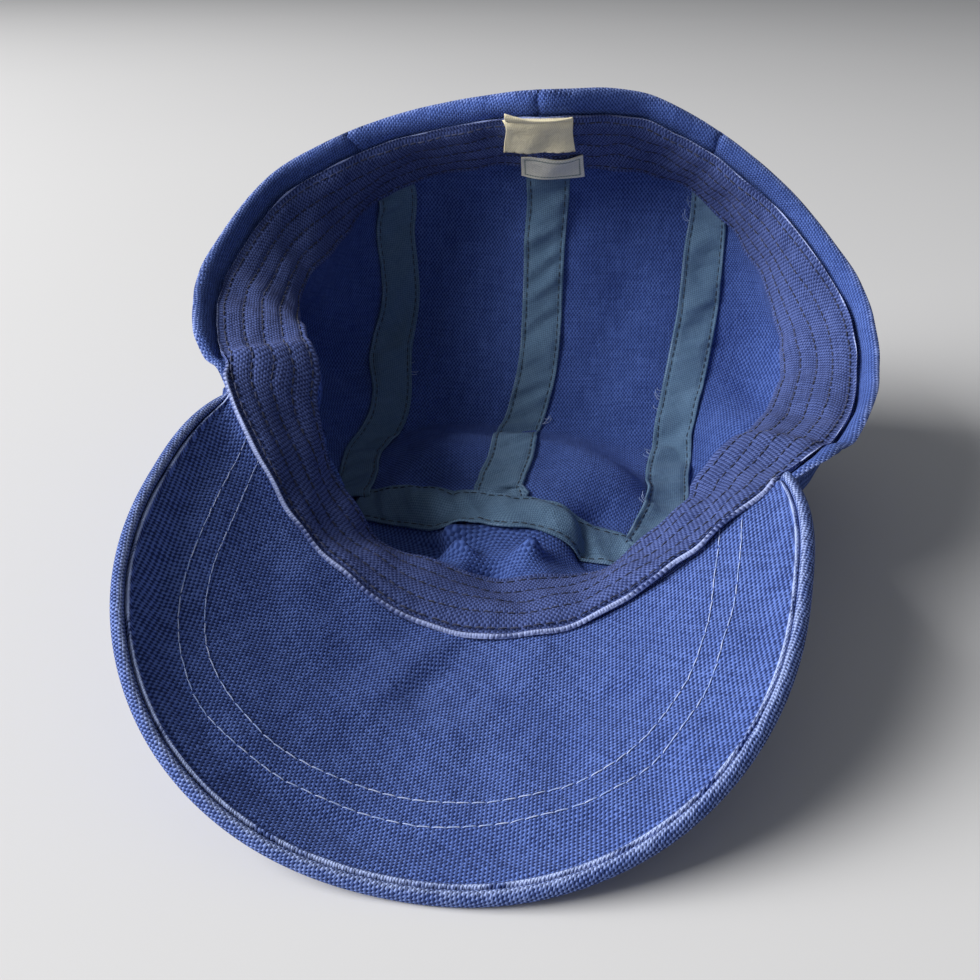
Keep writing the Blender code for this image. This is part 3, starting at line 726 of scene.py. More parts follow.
def make_panel(name, outline):
    spots = np.concatenate([outline, inside_of(scatter, outline, FINE * 0.5)])
    cloud = [Vector(place) for place in spots]
    found = delaunay_2d_cdt(cloud, [], [list(range(len(outline)))], 1, 1e-7)
    spots = np.array([tuple(v) for v in found[0]])
    faces = np.array([face for face in found[2] if len(face) == 3])
    a, b, c = (spots[faces[:, k]] for k in range(3))
    turned = (b[:, 0] - a[:, 0]) * (c[:, 1] - a[:, 1]) < (b[:, 1] - a[:, 1]) * (c[:, 0] - a[:, 0])
    faces[turned] = faces[turned][:, ::-1]
    bare = crown.bare(spots)
    seam = np.array([seam_tree.find(p)[2] for p in bare])
    down = crown.down(spots)
    lip = rounding(np.maximum(down, 0), WALL / 2)
    on_hem = np.clip((HEM_WIDTH * crown.hem(spots) - down) / 0.002, 0, 1)
    near = ridges(seam, (-0.0004 - 0.0009 * on_hem, 0, SEAM_REACH)) - lip
    folded = np.clip(1 - seam / SEAM_ALLOWANCE, 0, 1)
    far = -WALL + ridges(seam, (.0007, 0, SEAM_REACH), (.00025, .0062, .0008)) - 0.0003 * folded + lip
    face, normal = crown.face(spots), crown.normal(spots, crown.face)
    outer = face + normal * far[:, None]
    outer[:, 2] = np.maximum(outer[:, 2], 0)
    order = np.argsort(down)
    cloth = flat_cut(face, faces, int(order[-1]), int(order[0]))
    worn = 0.45 * bump(down / 0.0016) + 0.25 * bump(seam / 0.0012) * (1 - on_hem)
    piece = cloth_shell(name + "_cloth", face + normal * near[:, None], outer, faces,
                        cloth=cloth, worn=worn)
    return settle(piece, "canvas", name)


panels = {name: make_panel(name, outline) for name, outline in outlines.items()}
print("panel points:", {name: len(piece.data.vertices) for name, piece in panels.items()})

# %% [markdown]
# ## The seam tapes
# Inside a cap each seam is covered by a bound tape, folded at both edges and sewn down by two rows.
# The tape is a narrow grid walked along the seam. Its height over the cloth does the rest: plump in
# the middle over the seam's folded edges, a low ridge at each folded edge, a groove at each row.

# %% Tapes
def below_band(spots):
    return crown.down(spots) - HEM_WIDTH * crown.hem(spots) - BAND_WIDTH


def distance_to(line, others):
    here, there = crown.bare(line), crown.bare(others)
    return np.linalg.norm(here[:, None] - there[None], axis=2).min(1)


TAPE_COLUMNS = 23
TAPE_STEP = 0.0012
TAPE_ROW = 0.0016
TAPE_ROUND = 0.0003
TAPE_LIFT = 0.0010
LAP_REACH = 0.013
ROW_LIFT = 0.00008
TAPE_SLANT = np.array([[0.60, 0.26, 0], [0.95, -0.16, 0], [0, 0, 1]])
TAPE_LAPS = {
    # which crossings a tape lies over, and by how much
    "tape_left": (("left", .0009),),
    "tape_right": (("right", .0009),),
    "tape_centre": (("centre", -.0003),),
    "tape_front": (("centre", .0008), ("left", -.0002), ("right", -.0002)),
}
tape_rows = {}


def make_tape(name, line, seed):
    half = TAPE_WIDTH / 2
    offsets = half * np.sin(np.linspace(-pi / 2, pi / 2, TAPE_COLUMNS))
    spots = np.stack([walked(line, offset) for offset in offsets], 1)
    run = run_along(crown.bare(line))
    bare = crown.bare(spots)
    edge = np.broadcast_to(half - np.abs(offsets), spots.shape[:2])
    across = np.broadcast_to(offsets, spots.shape[:2])
    along = np.broadcast_to(run[:, None], spots.shape[:2])
    slant = np.stack([across, along, 0 * across], -1)
    wrinkle = unevenness(slant @ TAPE_SLANT, (.00050, .0105, seed), (.00018, .0050, seed + 1))
    middle = 1 - (across / half)**4
    over_others = sum(tall * bump(np.linalg.norm(bare - crown.bare(crossings[key]), axis=2) / LAP_REACH)
                      for key, tall in TAPE_LAPS[name])
    lip = rounding(edge, TAPE_ROUND)
    height = (TAPE_LIFT + over_others + 0.00055 * middle + wrinkle * (0.25 + 0.75 * middle)
              + ridges(edge, (.00022, .0005, .0006), (-.00040, TAPE_ROW, .00045)) - 0.9 * lip)
    height *= 1 - 0.6 * np.clip(-below_band(spots) / 0.003, 0, 1)
    thin = np.maximum(TAPE_THICK - 1.6 * lip, 0.0001)
    flat = spots.reshape(-1, 2)
    near = crown.over(flat, height.ravel())
    far = crown.over(flat, (height - thin).ravel())
    faces = [tuple(reversed(face)) for face in grid_faces(len(line), TAPE_COLUMNS)]
    cloth = slant.reshape(-1, 3)
    worn = (0.40 * bump((edge - 0.0004) / 0.0005)
            * np.clip(0.6 + 0.5 * ripples(bare, 0.012, seed + 2), 0, 1.2)).ravel()
    piece = cloth_shell(name + "_cloth", near, far, faces, cloth=cloth, worn=worn)
    tape_rows[name] = []
    for place in (TAPE_ROW - half, half - TAPE_ROW):
        lifted = np.array([np.interp(place, offsets, across_tape) for across_tape in height])
        tape_rows[name].append((walked(line, place), lifted + ROW_LIFT))
    return settle(piece, "seam_tape", name)


# A tape goes on under the band, and the centre tape's and front tape's ends lie under other tapes
UNDER_BAND, CENTRE_LAP, FRONT_LAP = 0.007, 0.0020, 0.0045
SEARCH_STEP = 0.0004
front_line = resample(seams["front"], SEARCH_STEP)
crossings = {"left": front_line[0], "right": front_line[-1],
             "centre": front_line[np.argmin(distance_to(front_line, seams["centre"]))]}
side_lines = np.concatenate([resample(seams[key], SEARCH_STEP) for key in ("left", "right")])
tape_lines = {}
for name, key in (("tape_left", "left"), ("tape_centre", "centre"), ("tape_right", "right")):
    line = resample(seams[key], SEARCH_STEP)
    line = line[below_band(line) > -UNDER_BAND]
    if key == "centre":
        line = line[distance_to(line, front_line) > TAPE_WIDTH / 2 - CENTRE_LAP]
    tape_lines[name] = resample(line, TAPE_STEP)
line = front_line[distance_to(front_line, side_lines) > TAPE_WIDTH / 2 - FRONT_LAP]
tape_lines["tape_front"] = resample(line, TAPE_STEP)
tapes = {name: make_tape(name, line, 20 + 5 * k)
         for k, (name, line) in enumerate(tape_lines.items())}
print("tape lengths, mm:", {name: round(run_along(crown.bare(line))[-1] * 1000)
                            for name, line in tape_lines.items()})

# %% [markdown]
# ## The sweatband
# The band is a folded strip of coarse cotton, sewn on along its top edge and quilted by rows of
# stitches. Its free lower edge stands a little off the crown. It starts and ends under the size
# tab, where a real one is joined, so the weave has no seam anywhere that shows.

# %% Sweatband
BAND_ROWS = (0.0026, 0.0080, 0.0135, 0.0190, 0.0243)
BAND_RIDGES = (
    # height, place below the band's top edge, reach: the piped edge, the groove under it, the rows
    (.00050, .0007, .00055), (-.00030, .0018, .0005), *((-.00038, row, .0007) for row in BAND_ROWS),
)
band_bearings = LABEL_BEARING + np.linspace(0.06, 359.94, 760)


def front_share(bearing):
    """1 where the band lies on the visor, 0 where it lies on the hem."""
    return np.clip(1.6 - 2.4 * hem_share(bearing), 0, 1)


def band_start(bearing):
    """How far below the rim the band's top edge lies. At the front it laps over the visor."""
    return HEM_WIDTH * np.clip(hem_share(bearing), 0, 1) + 0.0004 - 0.0024 * front_share(bearing)


def band_height(down, place):
    loose = np.clip(down / BAND_WIDTH, 0, 1)
    height = BAND_LAY + BAND_THICK + ridges(down, *BAND_RIDGES)
    height = height + 0.0007 * loose**3 + 0.00030 * ripples(place, 0.016, 41)
    return height + 0.00050 * ripples(place, 0.034, 43) * loose**2


band_down = BAND_WIDTH * np.r_[0, np.cumsum(0.25 + np.sin(np.linspace(0, pi, 57)))]
band_down *= BAND_WIDTH / band_down[-1]
down = np.broadcast_to(band_down, (len(band_bearings), len(band_down)))
band_spots = below_rim(band_bearings[:, None], band_start(band_bearings)[:, None] + down)
flat = band_spots.reshape(-1, 2)
place = crown.bare(flat)
fall = down.ravel()
edge = np.minimum(fall, BAND_WIDTH - fall)
height = band_height(fall, place)
lip = rounding(edge, BAND_THICK / 2)
lap = -0.0011 * bump(fall / 0.0035) * np.repeat(front_share(band_bearings), len(band_down))
run = run_along(crown.bare(below_rim(band_bearings, band_start(band_bearings) + BAND_WIDTH / 2)))
cloth = np.stack([np.repeat(run, len(band_down)), fall, 0 * fall], -1)
rubbed = np.clip(0.80 + 0.3 * ripples(place, 0.02, 45), 0.1, 1.1)
worn = ridges(fall, (1.1, .0005, .00055)) * rubbed + ridges(fall, (0.15, BAND_WIDTH, .0008))
sweatband = cloth_shell("sweatband_cloth", crown.over(flat, height - lip + lap),
                        crown.over(flat, height - BAND_THICK + lip + lap),
                        grid_faces(len(band_bearings), len(band_down)), cloth=cloth, worn=worn)
settle(sweatband, "sweatband", "sweatband")
print("sweatband points:", len(sweatband.data.vertices), "length, mm:", round(run[-1] * 1000))

# %% [markdown]
# ## The visor
# A stiff board is covered by two pieces of canvas. The upper cover's edge is turned round the
# board in a roll, and the under cover is sewn down inside it. Both lie on one bent sheet: a
# part of a cylinder that sinks towards one side and curls up at the front.

# %% The visor's sheet and outline
def sheet(x, y):
    """The height of the bent sheet. Lengths are measured from the visor's root."""
    bend = BEND_RADIUS - np.sqrt(np.maximum(BEND_RADIUS**2 - x**2, 1e-8))
    return ROOT_HEIGHT + ROOT_SLOPE * y + y**2 / (2 * FRONT_CURL) + bend - SIDE_TILT * x


def sheet_normal(x, y):
    d = 0.0003
    across = (sheet(x + d, y) - sheet(x - d, y)) / (2 * d)
    along = (sheet(x, y + d) - sheet(x, y - d)) / (2 * d)
    out = np.stack([-across, -along, np.ones_like(across)], -1)
    return out / np.linalg.norm(out, axis=-1, keepdims=True)


HALVINGS = 40
TUCK = 0.0006


def visor_edge(bearings):
    """How far the visor's outline is from the hub, found by halving a range again and again."""
    ways = spot(bearings, 1.0)
    near, far = np.zeros(len(ways)), np.full(len(ways), 3 * VISOR_LENGTH)
    for _ in range(HALVINGS):
        reach = (near + far) / 2
        x, y = ways[:, 0] * reach, ways[:, 1] * reach + HUB[1] - ROOT[1]
        size = abs(x / VISOR_HALF_WIDTH)**VISOR_SQUARENESS + abs(y / VISOR_LENGTH)**VISOR_SQUARENESS
        near, far = np.where(size < 1, reach, near), np.where(size < 1, far, reach)
    return (near + far) / 2 * visor_reach(bearings)


def visor_root(bearings):
    """How far from the hub the visor is sewn on, a little inside the crown's edge, and its height."""
    inner = crown.face(spot(bearings, 1.0))
    return np.hypot(inner[:, 0] - HUB[0], inner[:, 1] - HUB[1]) - TUCK, inner[:, 2]


LEAST_REACH = 0.0008
VISOR_STATIONS = 340
possible = np.arange(95, 266, 0.25)
wide = possible[visor_edge(possible) - visor_root(possible)[0] > LEAST_REACH]
visor_bearings = np.linspace(wide.min(), wide.max(), VISOR_STATIONS)
roots = np.stack(visor_root(visor_bearings), -1)
edges = visor_edge(visor_bearings)
print("visor bearings:", round(wide.min()), "to", round(wide.max()))


def on_visor(bearings, reach, height):
    """Places on the bent sheet, which rises to the crown's edge near the root."""
    root, tall, edge = (np.interp(bearings, visor_bearings, values) for values in (*roots.T, edges))
    away = spot(bearings, 1.0)
    share = np.clip((reach - root) / (edge - root), 0, 1)
    x, y = (away * reach[:, None]).T
    x0, y0 = (away * root[:, None]).T
    drop = HUB[1] - ROOT[1]
    ease = (1 - share)**2 * (tall - sheet(x0, y0 + drop))
    points = np.stack([x, y + drop, sheet(x, y + drop) + ease], -1)
    points += sheet_normal(x, y + drop) * np.asarray(height)[..., None]
    points[:, 2] = np.maximum(points[:, 2], 0)
    return points + [ROOT[0], ROOT[1], 0]


def visor_points(inward, height):
    """Places at distances in from the visor's edge, one per station, at heights over the sheet."""
    return on_visor(visor_bearings, edges - inward, height)

# %% Hollows of the under cover
TROUGH_LIMIT = -0.0016
UNDER_EDGE = ROLL_WIDTH + 0.0002
DENTS = (
    # place across and along from the root, reach across and along, turn, height
    (-.0035, -.0130, .0040, .0150, -32, -.00120),
    (-.0130, -.0200, .0060, .0170, -30, .00090),
    (.0060, -.0290, .0050, .0160, -25, .00045),
    (.0180, -.0120, .0080, .0180, -20, .00050),
    (-.0400, -.0050, .0070, .0200, 20, .00050),
    (-.0300, -.0300, .0080, .0160, 50, -.00040),
    (.0340, -.0260, .0090, .0180, -45, -.00035),
)


def dimples(points):
    """Soft hollows of the under cover, most of them running across the visor."""
    height = (0.00045 * ripples(points * [0.8, 1.4, 0], 0.045, 61)
              + 0.00020 * ripples(points * [1, 1, 0], 0.016, 63))
    for x, y, across, along, turn, tall in DENTS:
        u, v = points[..., 0] - ROOT[0] - x, points[..., 1] - ROOT[1] - y
        c, s = cos(radians(turn)), sin(radians(turn))
        height += 1.5 * tall * bump((u * c + v * s) / across) * bump((-u * s + v * c) / along)
    return height


def cover_height(plan, inward, bearings):
    """How the under cover rises and falls over the stiff board."""
    hollow = 0.0005 + ridges(bearings, (.0005, 215, 28))
    height = dimples(plan) * np.clip((inward - 0.004) / 0.01, 0, 1) + ridges(
        inward, (-hollow, .0115, .0048), (.00055, ROLL_WIDTH + .0006, .0006),
        (-.00025, ROLL_WIDTH + .0019, .0005))
    return np.maximum(height, TROUGH_LIMIT)

# %% The under cover
UNDER_THIN, UNDER_FAR = 0.0006, -0.0009


def make_under_cover(depth, steps=60):
    near, far, worn = [], [], []
    for t in np.linspace(0, 1, steps):
        inward = np.minimum(depth + (UNDER_EDGE - depth) * (1 - (1 - t)**1.6), depth)
        plan = visor_points(inward, np.zeros(len(depth)))
        lip = rounding(np.maximum(inward - UNDER_EDGE, 0), 0.0004)
        height = cover_height(plan, inward, visor_bearings)
        near.append(visor_points(inward, height - 1.8 * lip))
        far.append(visor_points(inward, np.minimum(height - UNDER_THIN, UNDER_FAR)))
        worn.append(ridges(inward, (1, ROLL_WIDTH + .0005, .00048)))
    near, far = np.stack(near, 1).reshape(-1, 3), np.stack(far, 1).reshape(-1, 3)
    worn = np.stack(worn, 1).ravel() * np.clip(0.85 + 0.25 * ripples(near, 0.009, 65), 0.35, 1.2)
    faces = [tuple(reversed(face)) for face in grid_faces(len(depth), steps)]
    return cloth_shell("visor_under_cloth", near, far, faces, cloth=near * [1, 1, 0], worn=worn)


visor_depth = edges - roots[:, 0]
visor_under = settle(make_under_cover(visor_depth), "visor_canvas", "visor_under")
print("under cover points:", len(visor_under.data.vertices))

# %% The upper cover and its rolled edge
ROLL = (
    # share of the roll's width in from the edge, height over the sheet in mm, wear
    (.98, -.60, 0), (.96, -.15, .10), (.86, .15, .25), (.70, .42, .45), (.52, .50, .60),
    (.34, .38, .50), (.18, .02, .35), (.06, -.55, .25), (0, -1.20, .25), (.02, -1.90, .25),
    (.10, -2.60, .20), (.28, -3.05, .20), (.60, -3.30, .10),
)


INNER_LOOPS, INNER_HEIGHT = 8, -0.0024
TOP_LOOPS = 46
CREST = 5    # the row of ROLL along which the roll's threads are measured


def make_upper_cover(depth):
    """Loops of points from the hidden inner face, round the rolled edge, to the visor's top."""
    loops = [(ROLL_WIDTH + t * (depth - ROLL_WIDTH), INNER_HEIGHT)
             for t in np.linspace(1, 0, INNER_LOOPS)]
    loops += [(np.full(len(depth), ROLL_WIDTH * place), height / 1000) for place, height, _ in ROLL]
    start = len(loops)
    for t in np.linspace(0, 1, TOP_LOOPS)[1:]:
        inward = ROLL_WIDTH + t * (depth - ROLL_WIDTH)
        plan = visor_points(np.minimum(inward, depth), np.zeros(len(depth)))
        groove = ridges(inward, (.00030, ROLL_WIDTH + .0012, .0006))
        hollows = 0.5 * dimples(plan) * np.clip(inward / 0.02, 0, 1)
        loops.append((inward, -VISOR_THICK + groove - hollows))
    uneven = 1 + 0.10 * ripples(np.stack([visor_bearings, 0 * depth, 0 * depth], -1) / 40, 0.05, 67)
    points = []
    for inward, height in loops:
        height = np.where(np.greater(height, 0), height * uneven, height)
        points.append(visor_points(np.minimum(inward, depth), height))
    points = np.stack(points, 1)
    around = points.shape[1]
    wear = np.zeros(around)
    wear[start - len(ROLL):start] = [w for _, _, w in ROLL]
    across = np.linalg.norm(np.diff(points, axis=1), axis=2)
    across = np.concatenate([np.zeros((len(depth), 1)), np.cumsum(across, axis=1)], 1)
    crest = points[:, start - len(ROLL) + CREST]
    station = np.broadcast_to(run_along(crest)[:, None], across.shape)
    cloth = points * [1, 1, 0]
    rolled = slice(start - len(ROLL) - 2, start + 1)
    cloth[:, rolled] = np.stack([station, across, 0 * across], -1)[:, rolled]
    faces = [(a, d, c, b) for a, b, c, d in tube_faces(len(depth), around)]
    worn = np.broadcast_to(wear, (len(depth), around)).ravel()
    return mesh_piece("visor_upper_cloth", points.reshape(-1, 3), faces,
                      cloth=cloth.reshape(-1, 3), worn=worn)


visor_upper = settle(make_upper_cover(visor_depth), "visor_canvas", "visor_upper")
print("upper cover points:", len(visor_upper.data.vertices))

# %% [markdown]
# ## The two labels
# A satin size tab hangs from the band's top edge and a small woven label is sewn at its foot. Both
# are blank here. Each is a little sheet walked out from the rim, with its own curl.

# %% A label
LABEL_THIN = 0.0005


def make_label(name, bearing, top_down, drop, width, flare, lift, mark, rows=64, columns=60):
    """A label that starts so far down from the rim. Its lower edge is wider by the flare."""
    share = np.linspace(0, 1, rows)
    near, far, cloth, worn = [], [], [], []
    for across in np.linspace(-1, 1, columns):
        arch = 1 - flare * 30 * (1 - across**2)
        line = below_rim(np.full(rows, bearing), top_down + drop * share * arch)
        spots = walked(line, across * (width + flare * share) / 2)
        height = lift(share, across)
        near.append(crown.over(spots, height))
        far.append(crown.over(spots, height - LABEL_THIN))
        cloth.append(np.stack([across * width / 2 + 0 * share, drop * share, 0 * share], -1))
        worn.append(mark(share * drop, (1 - share) * drop, (1 - abs(across)) * width / 2 + 0 * share))
    near, far, cloth = (np.stack(part, 1).reshape(-1, 3) for part in (near, far, cloth))
    return cloth_shell(name, near, far, grid_faces(rows, columns),
                       cloth=cloth, worn=np.stack(worn, 1).ravel())

# %% How each label stands off the band, and its dark threads
band_face = BAND_LAY + BAND_THICK


def tab_mark(top, bottom, side):
    """Dark threads of the cut lower edge and of the row that holds the tab."""
    teeth = 0.5 + 0.5 * np.sin(side / 0.0004)
    wander = 0.0004 * np.sin(side * 700)
    return ridges(bottom, (0.8, 0, .0006)) * teeth + ridges(top - wander, (0.9, .0016, .00035))


def frame_mark(top, bottom, side):
    """A plain thin frame."""
    return ridges(np.minimum(np.minimum(top, bottom), side), (0.85, .0013, .0003))


def tab_lift(share, across):
    free = np.clip((share - 0.14) / 0.86, 0, 1)
    return (band_face + 0.0012 + ridges(share, (.0006, .03, .07), (-.0004, .17, .05))
            + 0.0030 * free**2 * (0.75 + 0.25 * across**2)
            + 0.0002 * np.sin(7 * across + 4 * share) * share)


def woven_lift(share, across):
    return band_face + 0.0011 + 0.00025 * np.sin(4 * across + 3 * share) + 0.0004 * share

# %% The size tab and the woven label
label_hem = HEM_WIDTH * float(hem_share(LABEL_BEARING))
size_tab = make_label("size_tab_cloth", LABEL_BEARING - 0.8, top_down=label_hem - 0.0016,
                      drop=0.0145, width=0.0200, flare=0.0016, lift=tab_lift, mark=tab_mark)
settle(size_tab, "label_satin", "size_tab")
woven_label = make_label("woven_label_cloth", WOVEN_BEARING, top_down=label_hem + BAND_WIDTH - 0.0063,
                         drop=0.0105, width=0.0200, flare=0, lift=woven_lift, mark=frame_mark)
settle(woven_label, "label_woven", "woven_label")
print("labels:", [len(piece.data.vertices) for piece in (size_tab, woven_label)])

# %% [markdown]
# ## Rows of thread
# The visor has two rows of pale stitches, and the band and the tapes have dark ones. They are made
# as beads of thread along lines on the finished faces.

# %% The visor's stitches
VISOR_STITCH = (.0033, .0031, .00015)    # pitch, length and the thread's radius
VISOR_LIFT = 0.00012
VISOR_ROWS = (
    # places on the underside, metres from the root
    ((-.0654, .0260), (-.0668, .0025), (-.0648, -.0186), (-.0599, -.0341), (-.0524, -.0453),
     (-.0431, -.0517), (-.0303, -.0555), (-.0155, -.0570), (.0006, -.0574), (.0131, -.0552),
     (.0274, -.0511), (.0407, -.0449), (.0504, -.0364), (.0581, -.0241), (.0625, -.0100),
     (.0654, .0078), (.0658, .0260)),
    ((-.0611, .0260), (-.0622, .0049), (-.0608, -.0148), (-.0558, -.0300), (-.0487, -.0400),
     (-.0361, -.0478), (-.0238, -.0503), (-.0114, -.0510), (.0048, -.0506), (.0217, -.0466),
     (.0360, -.0405), (.0465, -.0316), (.0537, -.0200), (.0580, -.0080), (.0599, .0063),
     (.0604, .0260)),
)


visor_rows = []
for k, row in enumerate(VISOR_ROWS):
    fine = smooth_through(row)
    run = run_along(fine)
    line = read_at(np.linspace(0, run[-1], int(run[-1] / 0.001) + 1), run, fine)
    away = line + ROOT - HUB
    bearing = bearing_of(away) % 360
    reach = np.hypot(*away.T)
    shown = reach > visor_root(bearing)[0] - 0.0010
    bearing, reach, (x, y) = bearing[shown], reach[shown], line[shown].T
    inward = np.interp(bearing, visor_bearings, edges) - reach
    plan = on_visor(bearing, reach, 0 * reach)
    height = cover_height(plan, inward, bearing)
    points = on_visor(bearing, reach, height + VISOR_LIFT)
    visor_rows.append(stitches(f"visor_row_{k}", points, sheet_normal(x, y), VISOR_STITCH, 70 + k))
visor_thread = settle(joined("visor_stitches", visor_rows), "visor_canvas")
print("visor rows:", len(visor_rows))

# %% The band's and the tapes' stitches
BAND_STITCH = (.0030, .0024, .00024)
BAND_LIFT = 0.00005
TAPE_STITCH = (.0028, .0020, .00018)
band_rows = []
for k, row in enumerate(BAND_ROWS):
    spots = below_rim(band_bearings, band_start(band_bearings) + row)
    height = band_height(np.full(len(spots), row), crown.bare(spots)) + BAND_LIFT
    band_rows.append(stitches_on_cloth(f"band_row_{k}", spots, height, BAND_STITCH, 80 + k))
band_thread = settle(joined("band_stitches", band_rows), "sweatband")
tape_thread = settle(joined("tape_stitches", [
    stitches_on_cloth(f"{name}_row_{k}", row, lifted, TAPE_STITCH, 90 + k)
    for name, rows in tape_rows.items() for k, (row, lifted) in enumerate(rows)]), "seam_tape")
print("stitch triangles:", [2 * len(p.data.polygons) for p in (visor_thread, band_thread, tape_thread)])

# %% [markdown]
# Washing pulls fibres out of a tape's cut edges. A few short curled tubes, gathered at the places
# where the tape is most frayed, are enough to tell that story.

# %% Loose fibres
TUFTS = (
    # tape, side of it, share of its run, fibres
    ("tape_right", -1, .08, 4), ("tape_right", -1, .48, 7), ("tape_right", -1, .62, 4),
    ("tape_right", -1, .86, 3), ("tape_left", 1, .50, 3), ("tape_centre", 1, .58, 3),
)


def tube(name, points, radius, sides=5):
    along = np.gradient(points, axis=0)
    along /= np.linalg.norm(along, axis=1, keepdims=True)
    side = np.cross(along, [0.3, 0.5, 0.8])
    side /= np.linalg.norm(side, axis=1, keepdims=True)
    angles = np.arange(sides) * 2 * pi / sides
    rings = (np.cos(angles)[None, :, None] * side[:, None]
             + np.sin(angles)[None, :, None] * np.cross(side, along)[:, None])
    faces = tube_ends(len(points), sides) + tube_faces(len(points), sides)
    return mesh_piece(name, (points[:, None] + radius * rings).reshape(-1, 3), faces)


chance = np.random.default_rng(17)
fibres = []
for name, side, share, count in TUFTS:
    line = tape_lines[name]
    edges_of_tape = [walked(line, k * (TAPE_WIDTH / 2 - 0.0002)) for k in (-1, 1)]
    eastward = sorted(edges_of_tape, key=lambda edge: crown.bare(edge)[len(line) // 2, 0])
    edge = eastward[(side + 1) // 2]
    for _ in range(count):
        place = int(np.clip(share + chance.normal(0, 0.015), 0, 1) * (len(edge) - 2))
        spots = edge[place:place + 2]
        start, up = crown.over(spots, 0.0006)[0], crown.normal(spots, crown.face)[0]
        run = np.diff(crown.bare(spots), axis=0)[0]
        run /= np.linalg.norm(run)
        out = np.cross(run, up)
        out *= side * np.sign(out[0])
        t = np.linspace(0, 1, 9)[:, None]
        bend, reach = chance.uniform(-2.5, 2.5), chance.uniform(0.0012, 0.0030)
        curl = out * np.sin(t * 1.8) + run * (np.cos(bend * t) - 1 + bend * t * 0.4)
        points = start + reach * curl + up * (0.0004 + 0.0009 * t * chance.uniform(0.3, 1))
        fibres.append(tube(f"fibre_{len(fibres)}", points, 0.00012))
lint = settle(joined("tape_lint", fibres), "seam_tape")
print("fibres:", len(fibres))

# %% [markdown]
# ## Shader maths
# A material's numbers are worked out by nodes. Wire wraps a node's socket so that sums can be
# written as sums, and Finish adds any other node by its type, its settings and its inputs.

# %% Wires and finishes
class Wire:
    """A number that a node gives, which can take part in sums."""

    def __init__(self, finish, socket):
        self.finish, self.socket = finish, socket

    def maths(self, operation, *values):
        return self.finish.node("ShaderNodeMath", {"operation": operation}, dict(enumerate(values)))

    def __add__(self, other):
        return self.maths("ADD", self, other)

    def __sub__(self, other):
        return self.maths("SUBTRACT", self, other)

    def __rsub__(self, other):
        return self.maths("SUBTRACT", other, self)

    def __mul__(self, other):
        return self.maths("MULTIPLY", self, other)

    def __pow__(self, other):
        return self.maths("POWER", self, other)

    __radd__ = __add__
    __rmul__ = __mul__

    def sine(self):
        return self.maths("SINE", self)

    def absolute(self):
        return self.maths("ABSOLUTE", self)

    def between(self, low, high):
        """0 below low, 1 above high, smooth between."""
        return self.finish.node("ShaderNodeMapRange", {"interpolation_type": "SMOOTHSTEP"},
                                {"Value": self, "From Min": low, "From Max": high})


class Finish:
    """One material, built node by node."""

    def __init__(self, name, roughness, sheen=0.0, sheen_tint=(1, 1, 1)):
        self.material = bpy.data.materials.new(name)
        self.material.use_nodes = True
        self.tree = self.material.node_tree
        self.shader = self.tree.nodes["Principled BSDF"]
        for key, value in (("Roughness", roughness), ("Specular IOR Level", 0.25),
                           ("Sheen Weight", sheen), ("Sheen Roughness", 0.45),
                           ("Sheen Tint", (*sheen_tint, 1))):
            self.shader.inputs[key].default_value = value

    def put(self, socket, value):
        if isinstance(value, Wire):
            self.tree.links.new(value.socket, socket)
        else:
            socket.default_value = value

    def node(self, kind, settings=None, values=None, output=0):
        node = self.tree.nodes.new(kind)
        for key, value in (settings or {}).items():
            setattr(node, key, value)
        for key, value in (values or {}).items():
            self.put(node.inputs[key], value)
        return Wire(self, node.outputs[output])

    def mark(self, name, output="Fac"):
        return self.node("ShaderNodeAttribute", {"attribute_name": name}, output=output)

    def place(self):
        return self.node("ShaderNodeTexCoord", output="Object")

    def noise(self, where, size, detail=2.0, roughness=0.5):
        """Cloudy chance between 0 and 1, with clouds about size metres wide."""
        return self.node("ShaderNodeTexNoise", None, {
            "Vector": where, "Scale": 1 / size, "Detail": detail, "Roughness": roughness}, output="Fac")

    def stretched(self, where, x, y):
        return self.node("ShaderNodeVectorMath", {"operation": "MULTIPLY"}, {0: where, 1: (x, y, 1.0)})

    def split(self, where):
        parts = self.tree.nodes.new("ShaderNodeSeparateXYZ")
        self.put(parts.inputs[0], where)
        return [Wire(self, parts.outputs[k]) for k in range(3)]

    def blend(self, amount, first, second):
        node = self.tree.nodes.new("ShaderNodeMix")
        node.data_type = "RGBA"
        self.put(node.inputs["Factor"], amount)
        for key, colour in (("A", first), ("B", second)):
            sockets = [s for s in node.inputs if s.name == key and s.type == "RGBA"]
            self.put(sockets[0], colour if isinstance(colour, Wire) else (*colour, 1))
        return Wire(self, [s for s in node.outputs if s.type == "RGBA"][0])

    def bump(self, height, distance, strength=1.0, below=None):
        values = {"Height": height, "Distance": distance, "Strength": strength}
        if below is not None:
            values["Normal"] = below
        return self.node("ShaderNodeBump", None, values)

    def use(self, **wires):
        for name, wire in wires.items():
            self.put(self.shader.inputs[name.replace("_", " ").title()], wire)
        return self.material
